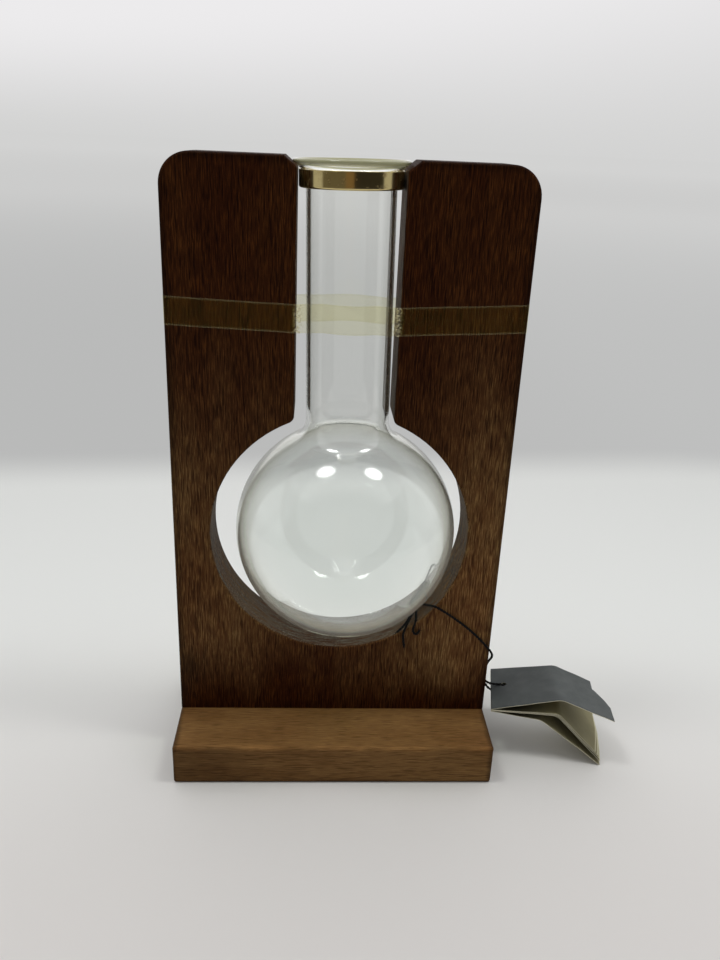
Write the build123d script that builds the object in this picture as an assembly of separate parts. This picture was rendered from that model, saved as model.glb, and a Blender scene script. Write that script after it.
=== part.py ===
from build123d import *
import math
import os

# Propagation vase: a round flask hung by its lip in a keyhole board that stands on a base block.
# Millimetres, +Z up, origin on the ground under the middle of the board, front towards -Y.

# Stand: upright board and base block
board_width = 152.0
board_thickness = 24.0
board_height = 259.5
board_corner_radius = 12.5
board_edge_round = 1.2
base_height = 20.5
base_ledge = 30.0
base_edge_round = 1.2

# Keyhole: the rail of wood under it, clearances round the flask, and the two bevels that its lip hangs on
foot_rail = 36.5
hole_clearance = 8.0
slot_clearance = 0.3
slot_corner_round = 3.5
seat_width = 5.2
seat_depth = 4.2
seat_gap = 0.05

# Flask: blown bulb, drawn neck, flared mouth with a rounded lip
bulb_radius = 51.4
bulb_wall = 1.6
neck_radius = 18.7
neck_wall = 1.8
shoulder_radius = 10.0
flare_radius = 10.0
lip_radius = 23.9
flask_lean = 1.0
bulb_sag = 0.7

# Brass band round the foot of the flare
band_height = 6.2
band_wall = 0.6
band_gap = 0.05
band_edge = 0.2

# Countersunk wood screws that hold the board on the base
screw_inset = 31.0
screw_length = 44.0
screw_shank_radius = 2.0
screw_head_radius = 4.0
screw_head_height = 2.6
screw_tip_length = 5.0
screw_sink = 0.6
screw_fit = 0.05
drive_width = 0.9
drive_span = 4.0
drive_depth = 1.5

# Clear tape wound round the board and the neck
tape_width = 12.0
tape_thickness = 0.2
tape_gap = 0.05
tape_neck_gap = 0.25
tape_parting = 0.3
tape_neck_share = 0.47
tape_left_rise = 1.3
tape_right_rise = 2.3

# Hang tag: a small booklet beside the board, its lowest leaf on the ground
tag_length = 63.5
tag_width = 35.0
tag_sheet = 0.3
tag_sheet_gap = 0.05
tag_crease_radius = 1.5
tag_side_gap = 2.3
tag_ahead = 19.5
tag_turn = 10.5
tag_hole_radius = 1.9
tag_hole_shares = (0.098, 0.57)
tag_rest_share = 0.405
# Each sheet's fold line from the spine outwards, as shares of the tag's length: outward, upward
tag_sheet_shares = {
    "tag_leaf_bottom": ((0, 0), (0.142, 0), (0.394, -0.040), (0.605, -0.187), (0.894, -0.405)),
    "tag_leaf_middle": ((0, 0), (0.142, 0), (0.465, -0.006), (0.887, -0.365)),
    "tag_leaf_top": ((0, 0), (0.142, 0), (0.523, 0.034), (0.872, -0.308)),
    "tag_cover": ((0, 0), (0.142, 0.004), (0.523, 0.134), (0.950, -0.016)),
}
# The bent-off far corner of the cover: outward as shares of the length, along the spine of the width
tag_corner_shares = ((0.825, 1), (0.825, 0.73), (0.965, 0.39))

# Tag string: its route, points chosen by hand from the knot round the board's edge and back
string_diameter = 1.1
knot_radius = 1.5
string_route = (
    (40.6, -1.0, 75.4),
    (42.4, -4.4, 77.0),
    (44.2, -8.4, 78.8),
    (46.2, -12.6, 81.0),
    (50.4, -13.8, 79.0),
    (55.7, -13.1, 75.0),
    (61.8, -13.0, 70.4),
    (67.9, -13.0, 65.0),
    (73.2, -13.2, 59.4),
    (77.0, -13.2, 54.8),
    (78.0, -10.4, 50.6),
    (77.5, -7.0, 45.6),
    (77.1, -4.6, 39.8),
    (77.2, -2.8, 34.2),
    (78.2, -1.6, 30.0),
    (81.2, -1.2, 28.2),
    (84.6, -1.05, 27.9),
    (88.1, -0.97, 27.6),
    (88.1, -0.9, 24.9),
    (84.6, -0.6, 24.4),
    (81.4, 0.8, 23.8),
    (79.2, 3.8, 25.2),
    (78.1, 7.6, 28.8),
    (77.8, 11.0, 33.4),
    (76.8, 13.8, 38.6),
    (73.8, 14.0, 44.6),
    (70.2, 13.4, 51.4),
    (66.4, 13.1, 58.6),
    (62.8, 13.1, 66.0),
    (59.2, 13.4, 73.6),
    (56.0, 14.2, 81.2),
    (53.0, 14.4, 87.6),
    (49.6, 11.0, 89.6),
    (47.6, 7.4, 86.6),
    (45.4, 4.4, 82.6),
    (42.6, 2.0, 78.8),
    (40.6, 0.6, 75.8),
)
knot_place = (39.9, -0.3, 74.9)
string_tails = (
    (
        (39.9, -0.3, 74.9),
        (39.0, -5.0, 73.9),
        (38.5, -10.0, 73.6),
        (37.9, -13.2, 71.6),
        (37.1, -13.4, 68.6),
        (37.4, -13.0, 65.8),
        (38.7, -13.0, 64.2),
        (40.6, -13.0, 65.2),
        (40.8, -13.0, 67.4),
    ),
    (
        (39.9, -0.3, 74.9),
        (37.4, -5.2, 72.2),
        (35.0, -10.2, 70.8),
        (33.0, -13.3, 68.4),
        (32.2, -13.3, 64.8),
        (32.7, -13.0, 61.2),
        (33.2, -13.1, 58.1),
    ),
)
arc_share = 0.45

# Overrun of every cut past the faces it goes through
overrun = 1.0

# Places worked out from the sizes above
board_top = base_height + board_height
base_depth = board_thickness + 2 * base_ledge
board_face = board_thickness / 2
lean = math.radians(flask_lean)
flare_centre = neck_radius + flare_radius
lip_bead = neck_wall / 2
lip_centre = lip_radius - lip_bead
flare_turn = math.acos((flare_centre - lip_centre) / (flare_radius + lip_bead))
flare_foot = -(flare_radius + lip_bead) * math.sin(flare_turn)
band_inner = flare_centre - math.sqrt(flare_radius**2 - band_height**2) + band_gap
band_outer = band_inner + band_wall
slot_half = band_outer + slot_clearance
seat_foot = board_top - seat_depth
seat_slope = math.atan2(seat_depth, seat_width)
bead_reach = (lip_centre - slot_half) * math.sin(seat_slope)
bead_lift = (lip_bead + seat_gap + bead_reach) / math.cos(seat_slope)
lip_height = seat_foot + bead_lift + lip_centre * math.sin(lean)
hole_radius = bulb_radius + hole_clearance
hole_height = base_height + foot_rail + hole_radius
bulb_drop = lip_height - hole_height + bulb_sag
tag_pitch = tag_sheet + tag_sheet_gap
tag_height = tag_rest_share * tag_length + tag_sheet


def upright_board():
    """The board: a round hole and a slot up to its top edge, with bevels that seat the flask's lip."""
    mid = base_height + board_height / 2
    outline = Pos(0, mid) * Rectangle(board_width, board_height)
    outline = fillet(outline.vertices().group_by(Axis.Y)[-1], board_corner_radius)
    slot_top = board_top + overrun
    slot_rise = slot_top - hole_height
    slot = Pos(0, hole_height + slot_rise / 2) * Rectangle(2 * slot_half, slot_rise)
    outline -= Pos(0, hole_height) * Circle(hole_radius)
    outline -= slot
    corner_height = hole_height + math.sqrt(hole_radius**2 - slot_half**2)
    corners = [v for v in outline.vertices() if abs(v.Y - corner_height) < slot_corner_round]
    outline = fillet(corners, slot_corner_round)
    wide = slot_half + seat_width
    rim = ((-wide, board_top), (wide, board_top), (slot_half, seat_foot), (-slot_half, seat_foot))
    outline -= Polygon(*rim, align=None)
    board = extrude(Plane.XZ * outline, amount=board_face, both=True)
    face_edges = board.edges().group_by(Axis.Y)[0] + board.edges().group_by(Axis.Y)[-1]
    eased = [e for e in face_edges if e.center().Z - base_height > board_edge_round]
    board = fillet(eased, board_edge_round)
    pilot = Cylinder(screw_shank_radius + screw_fit, screw_length)
    for x in screw_places():
        board -= Pos(x, 0, screw_sink + screw_length / 2) * pilot
    return board


def screw_places():
    """The screws' places along the board's width."""
    reach = board_width / 2 - screw_inset
    return (-reach, reach)


def screw_profile(fit):
    """Half outline of a countersunk screw with its head at z = 0, grown by the fit."""
    head = screw_head_radius + fit
    shank = screw_shank_radius + fit
    shank_top = screw_length - screw_tip_length
    points = ((0, 0), (head, 0), (shank, screw_head_height), (shank, shank_top), (0, screw_length))
    return Plane.XZ * make_face(Polyline(*points, close=True))


def base_screws():
    """Two countersunk wood screws with a cross recess, driven up through the base."""
    screw = revolve(screw_profile(0), Axis.Z)
    for span in ((drive_span, drive_width), (drive_width, drive_span)):
        screw -= Box(*span, 2 * drive_depth)
    return Compound([Pos(x, 0, screw_sink) * screw for x in screw_places()])


def base_block():
    """The base: an eased block with a countersunk hole for each screw."""
    block = Pos(0, 0, base_height / 2) * Box(board_width, base_depth, base_height)
    block = fillet(block.edges(), base_edge_round)
    bore = screw_shank_radius + screw_fit
    through = Pos(0, 0, base_height / 2) * Cylinder(bore, base_height + 2 * overrun)
    sunk = Cylinder(screw_head_radius + screw_fit, 2 * screw_sink)
    head = revolve(screw_profile(screw_fit), Axis.Z)
    for x in screw_places():
        block -= Pos(x, 0, 0) * through
        block -= Pos(x, 0, 0) * sunk
        block -= Pos(x, 0, screw_sink) * head
    return block


def shoulder(bulb, neck, rounding):
    """Centre of the rounding between a bulb and a neck, and its direction from the bulb's centre."""
    across = neck + rounding
    up = math.sqrt((bulb + rounding) ** 2 - across**2)
    return across, up, math.degrees(math.atan2(up, across))


def hung(solid):
    """A solid drawn about the lip's centre, leant and lifted to where the flask hangs."""
    return Pos(0, 0, lip_height) * Rot(0, -flask_lean, 0) * solid


def flask():
    """The flask: one turned profile, bulb, shoulder, neck and flared lip, with its inner wall."""
    turn = math.degrees(flare_turn)
    inner_bulb = bulb_radius - bulb_wall
    inner_neck = neck_radius - neck_wall
    inner_round = shoulder_radius + neck_wall
    across, up, tilt = shoulder(bulb_radius, neck_radius, shoulder_radius)
    across_in, up_in, tilt_in = shoulder(inner_bulb, inner_neck, inner_round)
    half_turn = 180
    quarter = 90
    outer = CenterArc((0, -bulb_drop), bulb_radius, -quarter, quarter + tilt)
    outer += CenterArc((across, up - bulb_drop), shoulder_radius, tilt + half_turn, -tilt)
    outer += Line((neck_radius, up - bulb_drop), (neck_radius, flare_foot))
    outer += CenterArc((flare_centre, flare_foot), flare_radius, half_turn, -turn)
    outer += CenterArc((lip_centre, 0), lip_bead, -turn, half_turn)
    inner = CenterArc((flare_centre, flare_foot), flare_radius + neck_wall, half_turn - turn, turn)
    inner += Line((inner_neck, flare_foot), (inner_neck, up_in - bulb_drop))
    inner += CenterArc((across_in, up_in - bulb_drop), inner_round, half_turn, tilt_in)
    inner += CenterArc((0, -bulb_drop), inner_bulb, tilt_in, -quarter - tilt_in)
    pole = Line((0, -bulb_drop - inner_bulb), (0, -bulb_drop - bulb_radius))
    return hung(revolve(Plane.XZ * make_face(outer + inner + pole), Axis.Z))


def neck_band():
    """The brass band: a thin ring with eased edges that the flare sits in."""
    ring = Circle(band_outer) - Circle(band_inner)
    ring = extrude(ring, band_height)
    rims = ring.edges().group_by(Axis.Z)
    ring = fillet(rims[0] + rims[-1], band_edge)
    return hung(Pos(0, 0, flare_foot) * ring)


def tape_middle():
    """Height of the tape's middle, a share of the way up the straight neck."""
    _, neck_rise, _ = shoulder(bulb_radius, neck_radius, shoulder_radius)
    neck_foot = hole_height - bulb_sag + neck_rise
    return neck_foot + tape_neck_share * (lip_height + flare_foot - neck_foot)


def tape_bridge_outline(reach):
    """Plan of the tape across the slot behind the board: tangent to the neck, then round it."""
    neck_x = (lip_height - tape_middle()) * math.tan(lean)
    paths = []
    for layer in (0, tape_thickness):
        radius = neck_radius + tape_neck_gap + layer
        y = board_face + tape_gap + layer
        bends = []
        for x, side in ((-reach, -1), (reach, 1)):
            away = math.hypot(x - neck_x, y)
            bend = math.atan2(y, x - neck_x) + side * math.acos(radius / away)
            bends.append((neck_x + radius * math.cos(bend), radius * math.sin(bend)))
        paths.append(((-reach, y), bends[0], (neck_x, radius), bends[1], (reach, y)))
    near, far = paths
    edge = Line(near[0], near[1]) + ThreePointArc(near[1], near[2], near[3]) + Line(near[3], near[4])
    edge += Line(near[4], far[4]) + Line(far[4], far[3]) + ThreePointArc(far[3], far[2], far[1])
    edge += Line(far[1], far[0]) + Line(far[0], near[0])
    return make_face(edge)


def tape_strip(plan):
    """A plan of the tape raised to its width, rising a little towards the board's two edges."""
    far = board_width / 2 + overrun
    middle = ((-far, tape_left_rise), (-slot_half, 0), (slot_half, 0), (far, tape_right_rise))
    level = tape_middle()
    top = [(x, level + rise + tape_width / 2) for x, rise in middle]
    foot = [(x, level + rise - tape_width / 2) for x, rise in reversed(middle)]
    height = tape_width + 2 * (tape_left_rise + tape_right_rise)
    wall = Pos(0, 0, level) * extrude(plan, height, both=True)
    band = extrude(Plane.XZ * make_face(Polyline(*top, *foot, close=True)), board_thickness, both=True)
    return wall & band


def tape_wrap():
    """The tape on the board: both front runs, both edges and the back run past the neck."""
    grown = 2 * (tape_gap + tape_thickness)
    outer_round = board_edge_round + tape_gap + tape_thickness
    plan = RectangleRounded(board_width + grown, board_thickness + grown, outer_round)
    inside = 2 * tape_gap
    plan -= RectangleRounded(board_width + inside, board_thickness + inside, board_edge_round + tape_gap)
    plan -= Rectangle(2 * slot_half, 2 * board_thickness)
    plan += tape_bridge_outline(slot_half)
    return tape_strip(plan)


def tape_bridge():
    """The tape in front of the neck, parted from the rest at the slot's edges."""
    return tape_strip(mirror(tape_bridge_outline(slot_half - tape_parting), Plane.XZ))


def tag_placed(solid):
    """A solid drawn with the tag's spine along +Y and its length along +X, turned to its place."""
    return Pos(board_width / 2 + tag_side_gap, -tag_ahead) * Rot(0, 0, -tag_turn) * solid


def tag_sheet_solid(layer, fold_shares):
    """One folded sheet of the tag with its string hole, in the layer counted from the bottom."""
    height = tag_height + layer * tag_pitch
    upper = [(u * tag_length, height + w * tag_length) for u, w in fold_shares]
    lower = [(u, w - tag_sheet) for u, w in upper]
    edge = Line(upper[0], lower[0]) + Line(upper[-1], lower[-1])
    for fold_line in (upper, lower):
        edge += FilletPolyline(*fold_line, radius=tag_crease_radius)
    sheet = extrude(Plane.XZ * make_face(edge), -tag_width)
    hole_out, hole_along = tag_hole_shares
    drill = Cylinder(tag_hole_radius, 2 * tag_length)
    return sheet - Pos(hole_out * tag_length, hole_along * tag_width, height) * drill


def tag_sheets():
    """The tag's sheets by name, the cover without its bent-off corner."""
    sheets = {}
    for layer, (name, fold_shares) in enumerate(tag_sheet_shares.items()):
        sheets[name] = tag_sheet_solid(layer, fold_shares)
    corner = [(u * tag_length, v * tag_width) for u, v in tag_corner_shares]
    beyond = tag_length + overrun
    above = tag_width + overrun
    corner = [(corner[0][0], above), *corner[1:], (beyond, corner[-1][1]), (beyond, above)]
    sheets["tag_cover"] -= extrude(make_face(Polyline(*corner, close=True)), tag_length)
    return {name: tag_placed(sheet) for name, sheet in sheets.items()}


def string_path(route):
    """Straight runs joined by tangent arcs, each as large as its two runs allow, and the arcs' radii."""
    points = [Vector(*p) for p in route]
    radii = []
    for before, here, after in zip(points, points[1:], points[2:]):
        turn = math.radians((here - before).get_angle(after - here))
        shorter = min((here - before).length, (after - here).length)
        radii.append(arc_share * shorter / math.tan(turn / 2))
    return FilletPolyline(*points, radius=radii), radii


def string_tube(name, route):
    """A round tube along a route, with its radii and its volume printed against its length."""
    path, radii = string_path(route)
    section = Plane(origin=path @ 0, z_dir=path % 0) * Circle(string_diameter / 2)
    tube = sweep(section, path)
    expected = math.pi * (string_diameter / 2) ** 2 * path.length
    print(name, "length", round(path.length, 1), "least radius", round(min(radii), 2))
    print(name, "volume", round(tube.volume, 2), "section times length", round(expected, 2))
    return tube


def string_knot():
    """The knot in the keyhole with its two cut tails, which hang over the hole's front edge."""
    knot = Pos(*knot_place) * Sphere(knot_radius)
    for number, tail in enumerate(string_tails):
        knot += string_tube(f"tail_{number}", tail)
    return knot


def main():
    """Builds every piece and writes one file for each."""
    os.makedirs("parts", exist_ok=True)
    pieces = {
        "upright_board": upright_board(),
        "base_block": base_block(),
        "base_screws": base_screws(),
        "flask": flask(),
        "neck_band": neck_band(),
        "tape_wrap": tape_wrap(),
        "tape_bridge": tape_bridge(),
        "tag_string": string_tube("tag_string", string_route),
        "string_knot": string_knot(),
        **tag_sheets(),
    }
    for name, piece in pieces.items():
        export_step(piece, os.path.join("parts", f"{name}.step"))


main()
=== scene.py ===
"""Looks of a propagation vase: a glass flask hung in a keyhole board, with its tape, string and hang tag.

Everything is in metres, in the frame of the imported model: +Z up, the front towards -Y, the ground at z = 0.
"""

import logging
import math
from dataclasses import dataclass, field
from enum import Enum
from typing import Dict, List, Optional, Sequence, Tuple, Union

import bpy
import numpy as np
from mathutils import Matrix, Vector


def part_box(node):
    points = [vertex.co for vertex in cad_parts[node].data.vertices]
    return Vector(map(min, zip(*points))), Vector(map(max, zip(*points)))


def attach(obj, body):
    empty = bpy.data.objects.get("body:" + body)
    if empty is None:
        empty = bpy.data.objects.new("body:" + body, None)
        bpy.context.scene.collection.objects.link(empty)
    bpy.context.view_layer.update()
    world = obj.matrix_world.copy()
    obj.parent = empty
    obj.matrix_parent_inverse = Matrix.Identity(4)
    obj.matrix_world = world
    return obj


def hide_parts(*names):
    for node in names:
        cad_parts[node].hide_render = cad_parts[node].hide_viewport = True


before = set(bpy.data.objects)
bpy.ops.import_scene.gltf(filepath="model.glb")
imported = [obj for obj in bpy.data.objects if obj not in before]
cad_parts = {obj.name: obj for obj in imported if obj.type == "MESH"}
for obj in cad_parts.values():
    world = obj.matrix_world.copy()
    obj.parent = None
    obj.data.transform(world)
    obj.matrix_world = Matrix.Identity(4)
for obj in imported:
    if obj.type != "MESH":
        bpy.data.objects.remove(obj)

Vec3 = Tuple[float, float, float]
Colour = Tuple[float, float, float]
Socket = bpy.types.NodeSocket
Value = Union[float, Sequence[float], Socket]
Inputs = Dict[Union[str, int], Value]
Piece = bpy.types.Object
Material = bpy.types.Material
Span = Tuple[float, float]
Pairs = Tuple[Span, ...]
Faces = List[np.ndarray]
Shape = Tuple[np.ndarray, Faces]

MM = 0.001
PER_MM = (1 / MM,) * 3
OFF_LINE = (0.31, 0.52, 0.79)
ROUNDED_DEG = 60.0
LOG = logging.getLogger("propagation_vase")


class Grain(Enum):
    """The way a wood's fibres run, as the share of across-grain detail that each axis keeps."""

    UPRIGHT = (1.0, 1.0, 0.06)
    SIDEWAYS = (0.06, 1.0, 1.0)


class Shader(Enum):
    """The node types that the finishes are put together from."""

    PRINCIPLED = "ShaderNodeBsdfPrincipled"
    TRANSLUCENT = "ShaderNodeBsdfTranslucent"
    TRANSPARENT = "ShaderNodeBsdfTransparent"
    MIX_SHADER = "ShaderNodeMixShader"
    ABSORPTION = "ShaderNodeVolumeAbsorption"
    BACKGROUND = "ShaderNodeBackground"
    EMISSION = "ShaderNodeEmission"


class Graph:
    """A node tree with short ways to add nodes and join them."""

    def __init__(self, tree: bpy.types.NodeTree) -> None:
        """Starts from an emptied tree."""
        self.tree = tree
        self.tree.nodes.clear()

    @classmethod
    def of_material(cls, name: str) -> Tuple["Graph", Material]:
        """Makes a material and the graph that fills it.

        Args:
            name: The material's name.

        Returns:
            The empty graph and the material.
        """
        material = bpy.data.materials.new(name)
        material.use_nodes = True
        return cls(material.node_tree), material

    def put(self, socket: Socket, value: Value) -> None:
        """Joins a socket to another one, or sets it to a constant.

        Args:
            socket: The socket that takes the value.
            value: A socket to join it to, a number, or a vector or colour.
        """
        if isinstance(value, bpy.types.NodeSocket):
            self.tree.links.new(value, socket)
        elif socket.type == "RGBA" and len(value) == 3:
            socket.default_value = (*value, 1.0)
        else:
            socket.default_value = value

    def add(self, kind: str, inputs: Inputs, **settings: object) -> bpy.types.Node:
        """Adds a node.

        Args:
            kind: The node's type name.
            inputs: What goes into its sockets, by name or number.
            settings: Its own options.

        Returns:
            The node.
        """
        node = self.tree.nodes.new(kind)
        for name, value in settings.items():
            setattr(node, name, value)
        for key, value in inputs.items():
            self.put(node.inputs[key], value)
        return node

    def place(self, scale: Value = (1.0, 1.0, 1.0)) -> Socket:
        """Object coordinates, scaled on each axis."""
        source = self.add("ShaderNodeTexCoord", {}).outputs["Object"]
        return self.vector("MULTIPLY", source, scale)

    def axes(self, vector: Socket) -> Tuple[Socket, Socket, Socket]:
        """The three parts of a vector."""
        parts = self.add("ShaderNodeSeparateXYZ", {0: vector}).outputs
        return parts[0], parts[1], parts[2]

    def noise(self, vector: Socket, scale: float, detail: float = 2.0, roughness: float = 0.5) -> Socket:
        """Cloudy noise around one half: its clouds per unit, its octaves and what each finer one keeps."""
        inputs = {"Vector": vector, "Scale": scale, "Detail": detail, "Roughness": roughness}
        return self.add("ShaderNodeTexNoise", inputs).outputs[0]

    def math(self, operation: str, first: Value, second: Value = 0.0) -> Socket:
        """One operation on two values."""
        return self.add("ShaderNodeMath", {0: first, 1: second}, operation=operation).outputs[0]

    def plus(self, first: Value, second: Value) -> Socket:
        """The sum of two values."""
        return self.math("ADD", first, second)

    def less(self, first: Value, second: Value) -> Socket:
        """The first value less the second."""
        return self.math("SUBTRACT", first, second)

    def times(self, first: Value, second: Value) -> Socket:
        """The product of two values."""
        return self.math("MULTIPLY", first, second)

    def most(self, first: Value, second: Value) -> Socket:
        """The larger of two values."""
        return self.math("MAXIMUM", first, second)

    def vector(self, operation: str, first: Value, second: Value) -> Socket:
        """One operation on two vectors."""
        return self.add("ShaderNodeVectorMath", {0: first, 1: second}, operation=operation).outputs[0]

    def length(self, vector: Socket) -> Socket:
        """How long a vector is."""
        return self.add("ShaderNodeVectorMath", {0: vector}, operation="LENGTH").outputs["Value"]

    def attribute(self, name: str) -> Socket:
        """A value that the mesh carries."""
        return self.add("ShaderNodeAttribute", {}, attribute_name=name).outputs["Fac"]

    def shader(self, kind: Shader, inputs: Inputs) -> Socket:
        """A shader node's output."""
        return self.add(kind.value, inputs).outputs[0]

    def blend(self, share: Value, first: Socket, second: Socket) -> Socket:
        """Two shaders as one, with the second one's share."""
        return self.shader(Shader.MIX_SHADER, {0: share, 1: first, 2: second})

    def ray(self, kind: str) -> Socket:
        """1 where the light's path is of a kind, 0 elsewhere."""
        return self.add("ShaderNodeLightPath", {}).outputs[f"Is {kind} Ray"]

    def wave(self, cloud: Socket, height: float) -> Socket:
        """Noise around one half as an unevenness around zero, of a height in metres."""
        return self.times(self.less(cloud, 0.5), height)

    def step(self, value: Socket, low: float, high: float, start: float = 0.0, end: float = 1.0) -> Socket:
        """A smooth change with a value: start where it is up to low, end from high on."""
        inputs = {"Value": value, "From Min": low, "From Max": high, "To Min": start, "To Max": end}
        return self.add("ShaderNodeMapRange", inputs, interpolation_type="SMOOTHSTEP").outputs[0]

    def mix(self, factor: Value, first: Value, second: Value, blend: str = "MIX") -> Socket:
        """Blends two colours.

        Args:
            factor: The second colour's share.
            first: The first colour.
            second: The second colour.
            blend: The way they are blended.

        Returns:
            The colour socket.
        """
        node = self.add("ShaderNodeMix", {}, data_type="RGBA", blend_type=blend)
        for number, value in ((0, factor), (6, first), (7, second)):
            self.put(node.inputs[number], value)
        return node.outputs[2]

    def tone(self, share: Value, colour: Socket, factor: Value) -> Socket:
        """A colour that is multiplied by a factor, where the share says so."""
        return self.mix(share, colour, self.mix(1.0, colour, factor, "MULTIPLY"))

    def bump(self, height: Socket, depth: float, strength: float = 1.0) -> Socket:
        """The normal of a relief from 0 to 1: how deep 1 is in metres, and how much of it shows."""
        inputs = {"Height": height, "Distance": depth, "Strength": strength}
        return self.add("ShaderNodeBump", inputs).outputs[0]

    def close(self, surface: Socket, volume: Optional[Socket] = None) -> None:
        """Joins the finished shaders to the output.

        Args:
            surface: The surface's shader.
            volume: The volume's shader, where there is one.
        """
        output = self.add("ShaderNodeOutputMaterial", {"Surface": surface})
        if volume is not None:
            self.put(output.inputs["Volume"], volume)


class Finish:
    """A finish: a named material whose shaders each kind of finish puts together."""

    name: str

    def build(self) -> Material:
        """Makes the material.

        Returns:
            The material, with its nodes joined.
        """
        graph, material = Graph.of_material(self.name)
        graph.close(self.surface(graph), self.volume(graph))
        return material

    def surface(self, graph: Graph) -> Socket:
        """The surface's shader, which each finish has of its own."""
        raise NotImplementedError

    def volume(self, graph: Graph) -> Optional[Socket]:
        """The volume's shader: none, unless a finish has one."""
        return None


class StainAndLight:
    """How a piece of wood is coloured: the same all over, unless a kind has its own places of stains and of
    painted light and shade.
    """

    def paint(self, graph: Graph, colour: Socket) -> Socket:
        """The wood's colour with the piece's own places."""
        return colour

    def inset(self, edge: float, insets: Span) -> Span:
        """Where a change begins and ends, as distances inwards from an edge."""
        return edge - insets[0], edge - insets[1]


@dataclass(frozen=True)
class BoardStainAndLight(StainAndLight):
    """The board's colouring: a paler lower board beside the hole, partly its own tone and partly painted
    bounce light, weaker to the left and dark above where it fades out, with painted shade at the foot and in
    the middle below the bulb; dark edges, partly stained and partly painted shade; cut walls greyed partly by
    dust and partly by a painted sheen.
    """

    half_width: float
    foot: float
    top: float
    face: float
    hole_height: float
    hole_radius: float
    slot_half: float
    # pale: the lift of the lower board, partly the wood's own paler tone and partly painted bounce light from
    # the floor.
    pale: Colour = (4.3, 8.0, 14.0)
    level_wave: float = 60 * MM
    rise_span: Span = (6 * MM, 44 * MM)
    fall_span: Span = (-30 * MM, 115 * MM)
    middle_span: Span = (18 * MM, 60 * MM)
    middle_share: float = 0.25
    left_share: float = 0.63
    edge_stain_and_shade_tone: float = 0.5
    edge_wave: float = 3 * MM
    rim_insets: Span = (4.5 * MM, 0.5 * MM)
    knot: Tuple[float, float] = (-77 * MM, 46 * MM)
    knot_span: Span = (3.9 * MM, 13 * MM)
    knot_slimness: float = 0.8
    # The cut walls' grey: partly dust, partly a painted sheen.
    dust_and_sheen: Colour = (0.074, 0.056, 0.042)
    dust_and_sheen_scale: Vec3 = (0.12 / MM, 1.3 / MM, 0.12 / MM)
    dust_and_sheen_span: Span = (0.38, 0.62)
    dust_and_sheen_least: float = 0.1
    cut_span: Span = (0.3 * MM, 0.9 * MM)
    cut_depth: Span = (0.2 * MM, 1.1 * MM)

    def paint(self, graph: Graph, colour: Socket) -> Socket:
        """Blends the places into the wood's colour.

        Args:
            graph: The graph to add to.
            colour: The even wood colour.

        Returns:
            The stained colour socket.
        """
        across, deep, up = graph.axes(graph.place())
        beside = graph.math("ABSOLUTE", across)
        cloud = graph.noise(graph.place((1 / MM, 1 / MM, 0.2 / MM)), 0.05, 2.0)
        level = graph.plus(up, graph.wave(cloud, self.level_wave))
        # Painted light: the lower board beside the hole is paler, partly its own tone and partly bounce light
        # from the floor. The lift fades to painted shade at the foot, fades out above the hole, and is weaker
        # in the middle below the bulb (painted shade) and towards the left.
        rise = graph.step(graph.less(level, self.foot), *self.rise_span)
        fall = graph.step(graph.less(level, self.hole_height), *self.fall_span, 1.0, 0.0)
        side = graph.step(across, -self.half_width, self.half_width, self.left_share, 1.0)
        middle = graph.step(beside, *self.middle_span, self.middle_share, 1.0)
        paler = graph.times(graph.times(rise, fall), graph.times(side, middle))
        colour = graph.tone(paler, colour, self.pale)
        # Dark edges along the sides and the top: partly stain gathered at the edges, partly painted shade.
        # The knot is a dark stain spot.
        wavy = graph.wave(cloud, self.edge_wave)
        high = graph.plus(up, wavy)
        edge = graph.step(graph.plus(beside, wavy), *self.inset(self.half_width, self.rim_insets))
        crown = graph.step(high, *self.inset(self.top, self.rim_insets))
        sideways = graph.times(graph.less(across, self.knot[0]), self.knot_slimness)
        from_knot = self.distance(graph, sideways, graph.less(high, self.knot[1]))
        knot = graph.step(from_knot, *self.knot_span, 1.0, 0.0)
        dark = graph.most(graph.most(edge, crown), knot)
        colour = graph.tone(dark, colour, (self.edge_stain_and_shade_tone,) * 3)
        # The cut walls of the hole and the slot turn grey in streaks: partly dust, partly a painted sheen.
        dust_and_sheen_share = graph.noise(graph.place(self.dust_and_sheen_scale), 1.0, 3.0)
        dust_and_sheen_share = graph.step(dust_and_sheen_share, *self.dust_and_sheen_span, self.dust_and_sheen_least)
        return graph.mix(graph.times(self.cut_wall(graph, beside, deep, up), dust_and_sheen_share), colour, self.dust_and_sheen)

    def distance(self, graph: Graph, across: Socket, up: Socket) -> Socket:
        """How far a place is from the origin of two axes: the root of the sum of their squares."""
        squares = graph.plus(graph.math("POWER", across, 2.0), graph.math("POWER", up, 2.0))
        return graph.math("SQRT", squares)

    def cut_wall(self, graph: Graph, beside: Socket, deep: Socket, up: Socket) -> Socket:
        """1 on the walls of the round hole and of the slot, 0 on the faces.

        Args:
            graph: The graph to add to.
            beside: The distance from the board's middle plane.
            deep: The place along Y.
            up: The place along Z.

        Returns:
            The mask's socket.
        """
        far = self.distance(graph, beside, graph.less(up, self.hole_height))
        inside = graph.step(graph.less(far, self.hole_radius), *self.cut_span, 1.0, 0.0)
        slot = graph.step(graph.less(beside, self.slot_half), *self.cut_span, 1.0, 0.0)
        depth = graph.less(self.face, graph.math("ABSOLUTE", deep))
        return graph.times(graph.most(inside, slot), graph.step(depth, *self.cut_depth))


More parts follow.
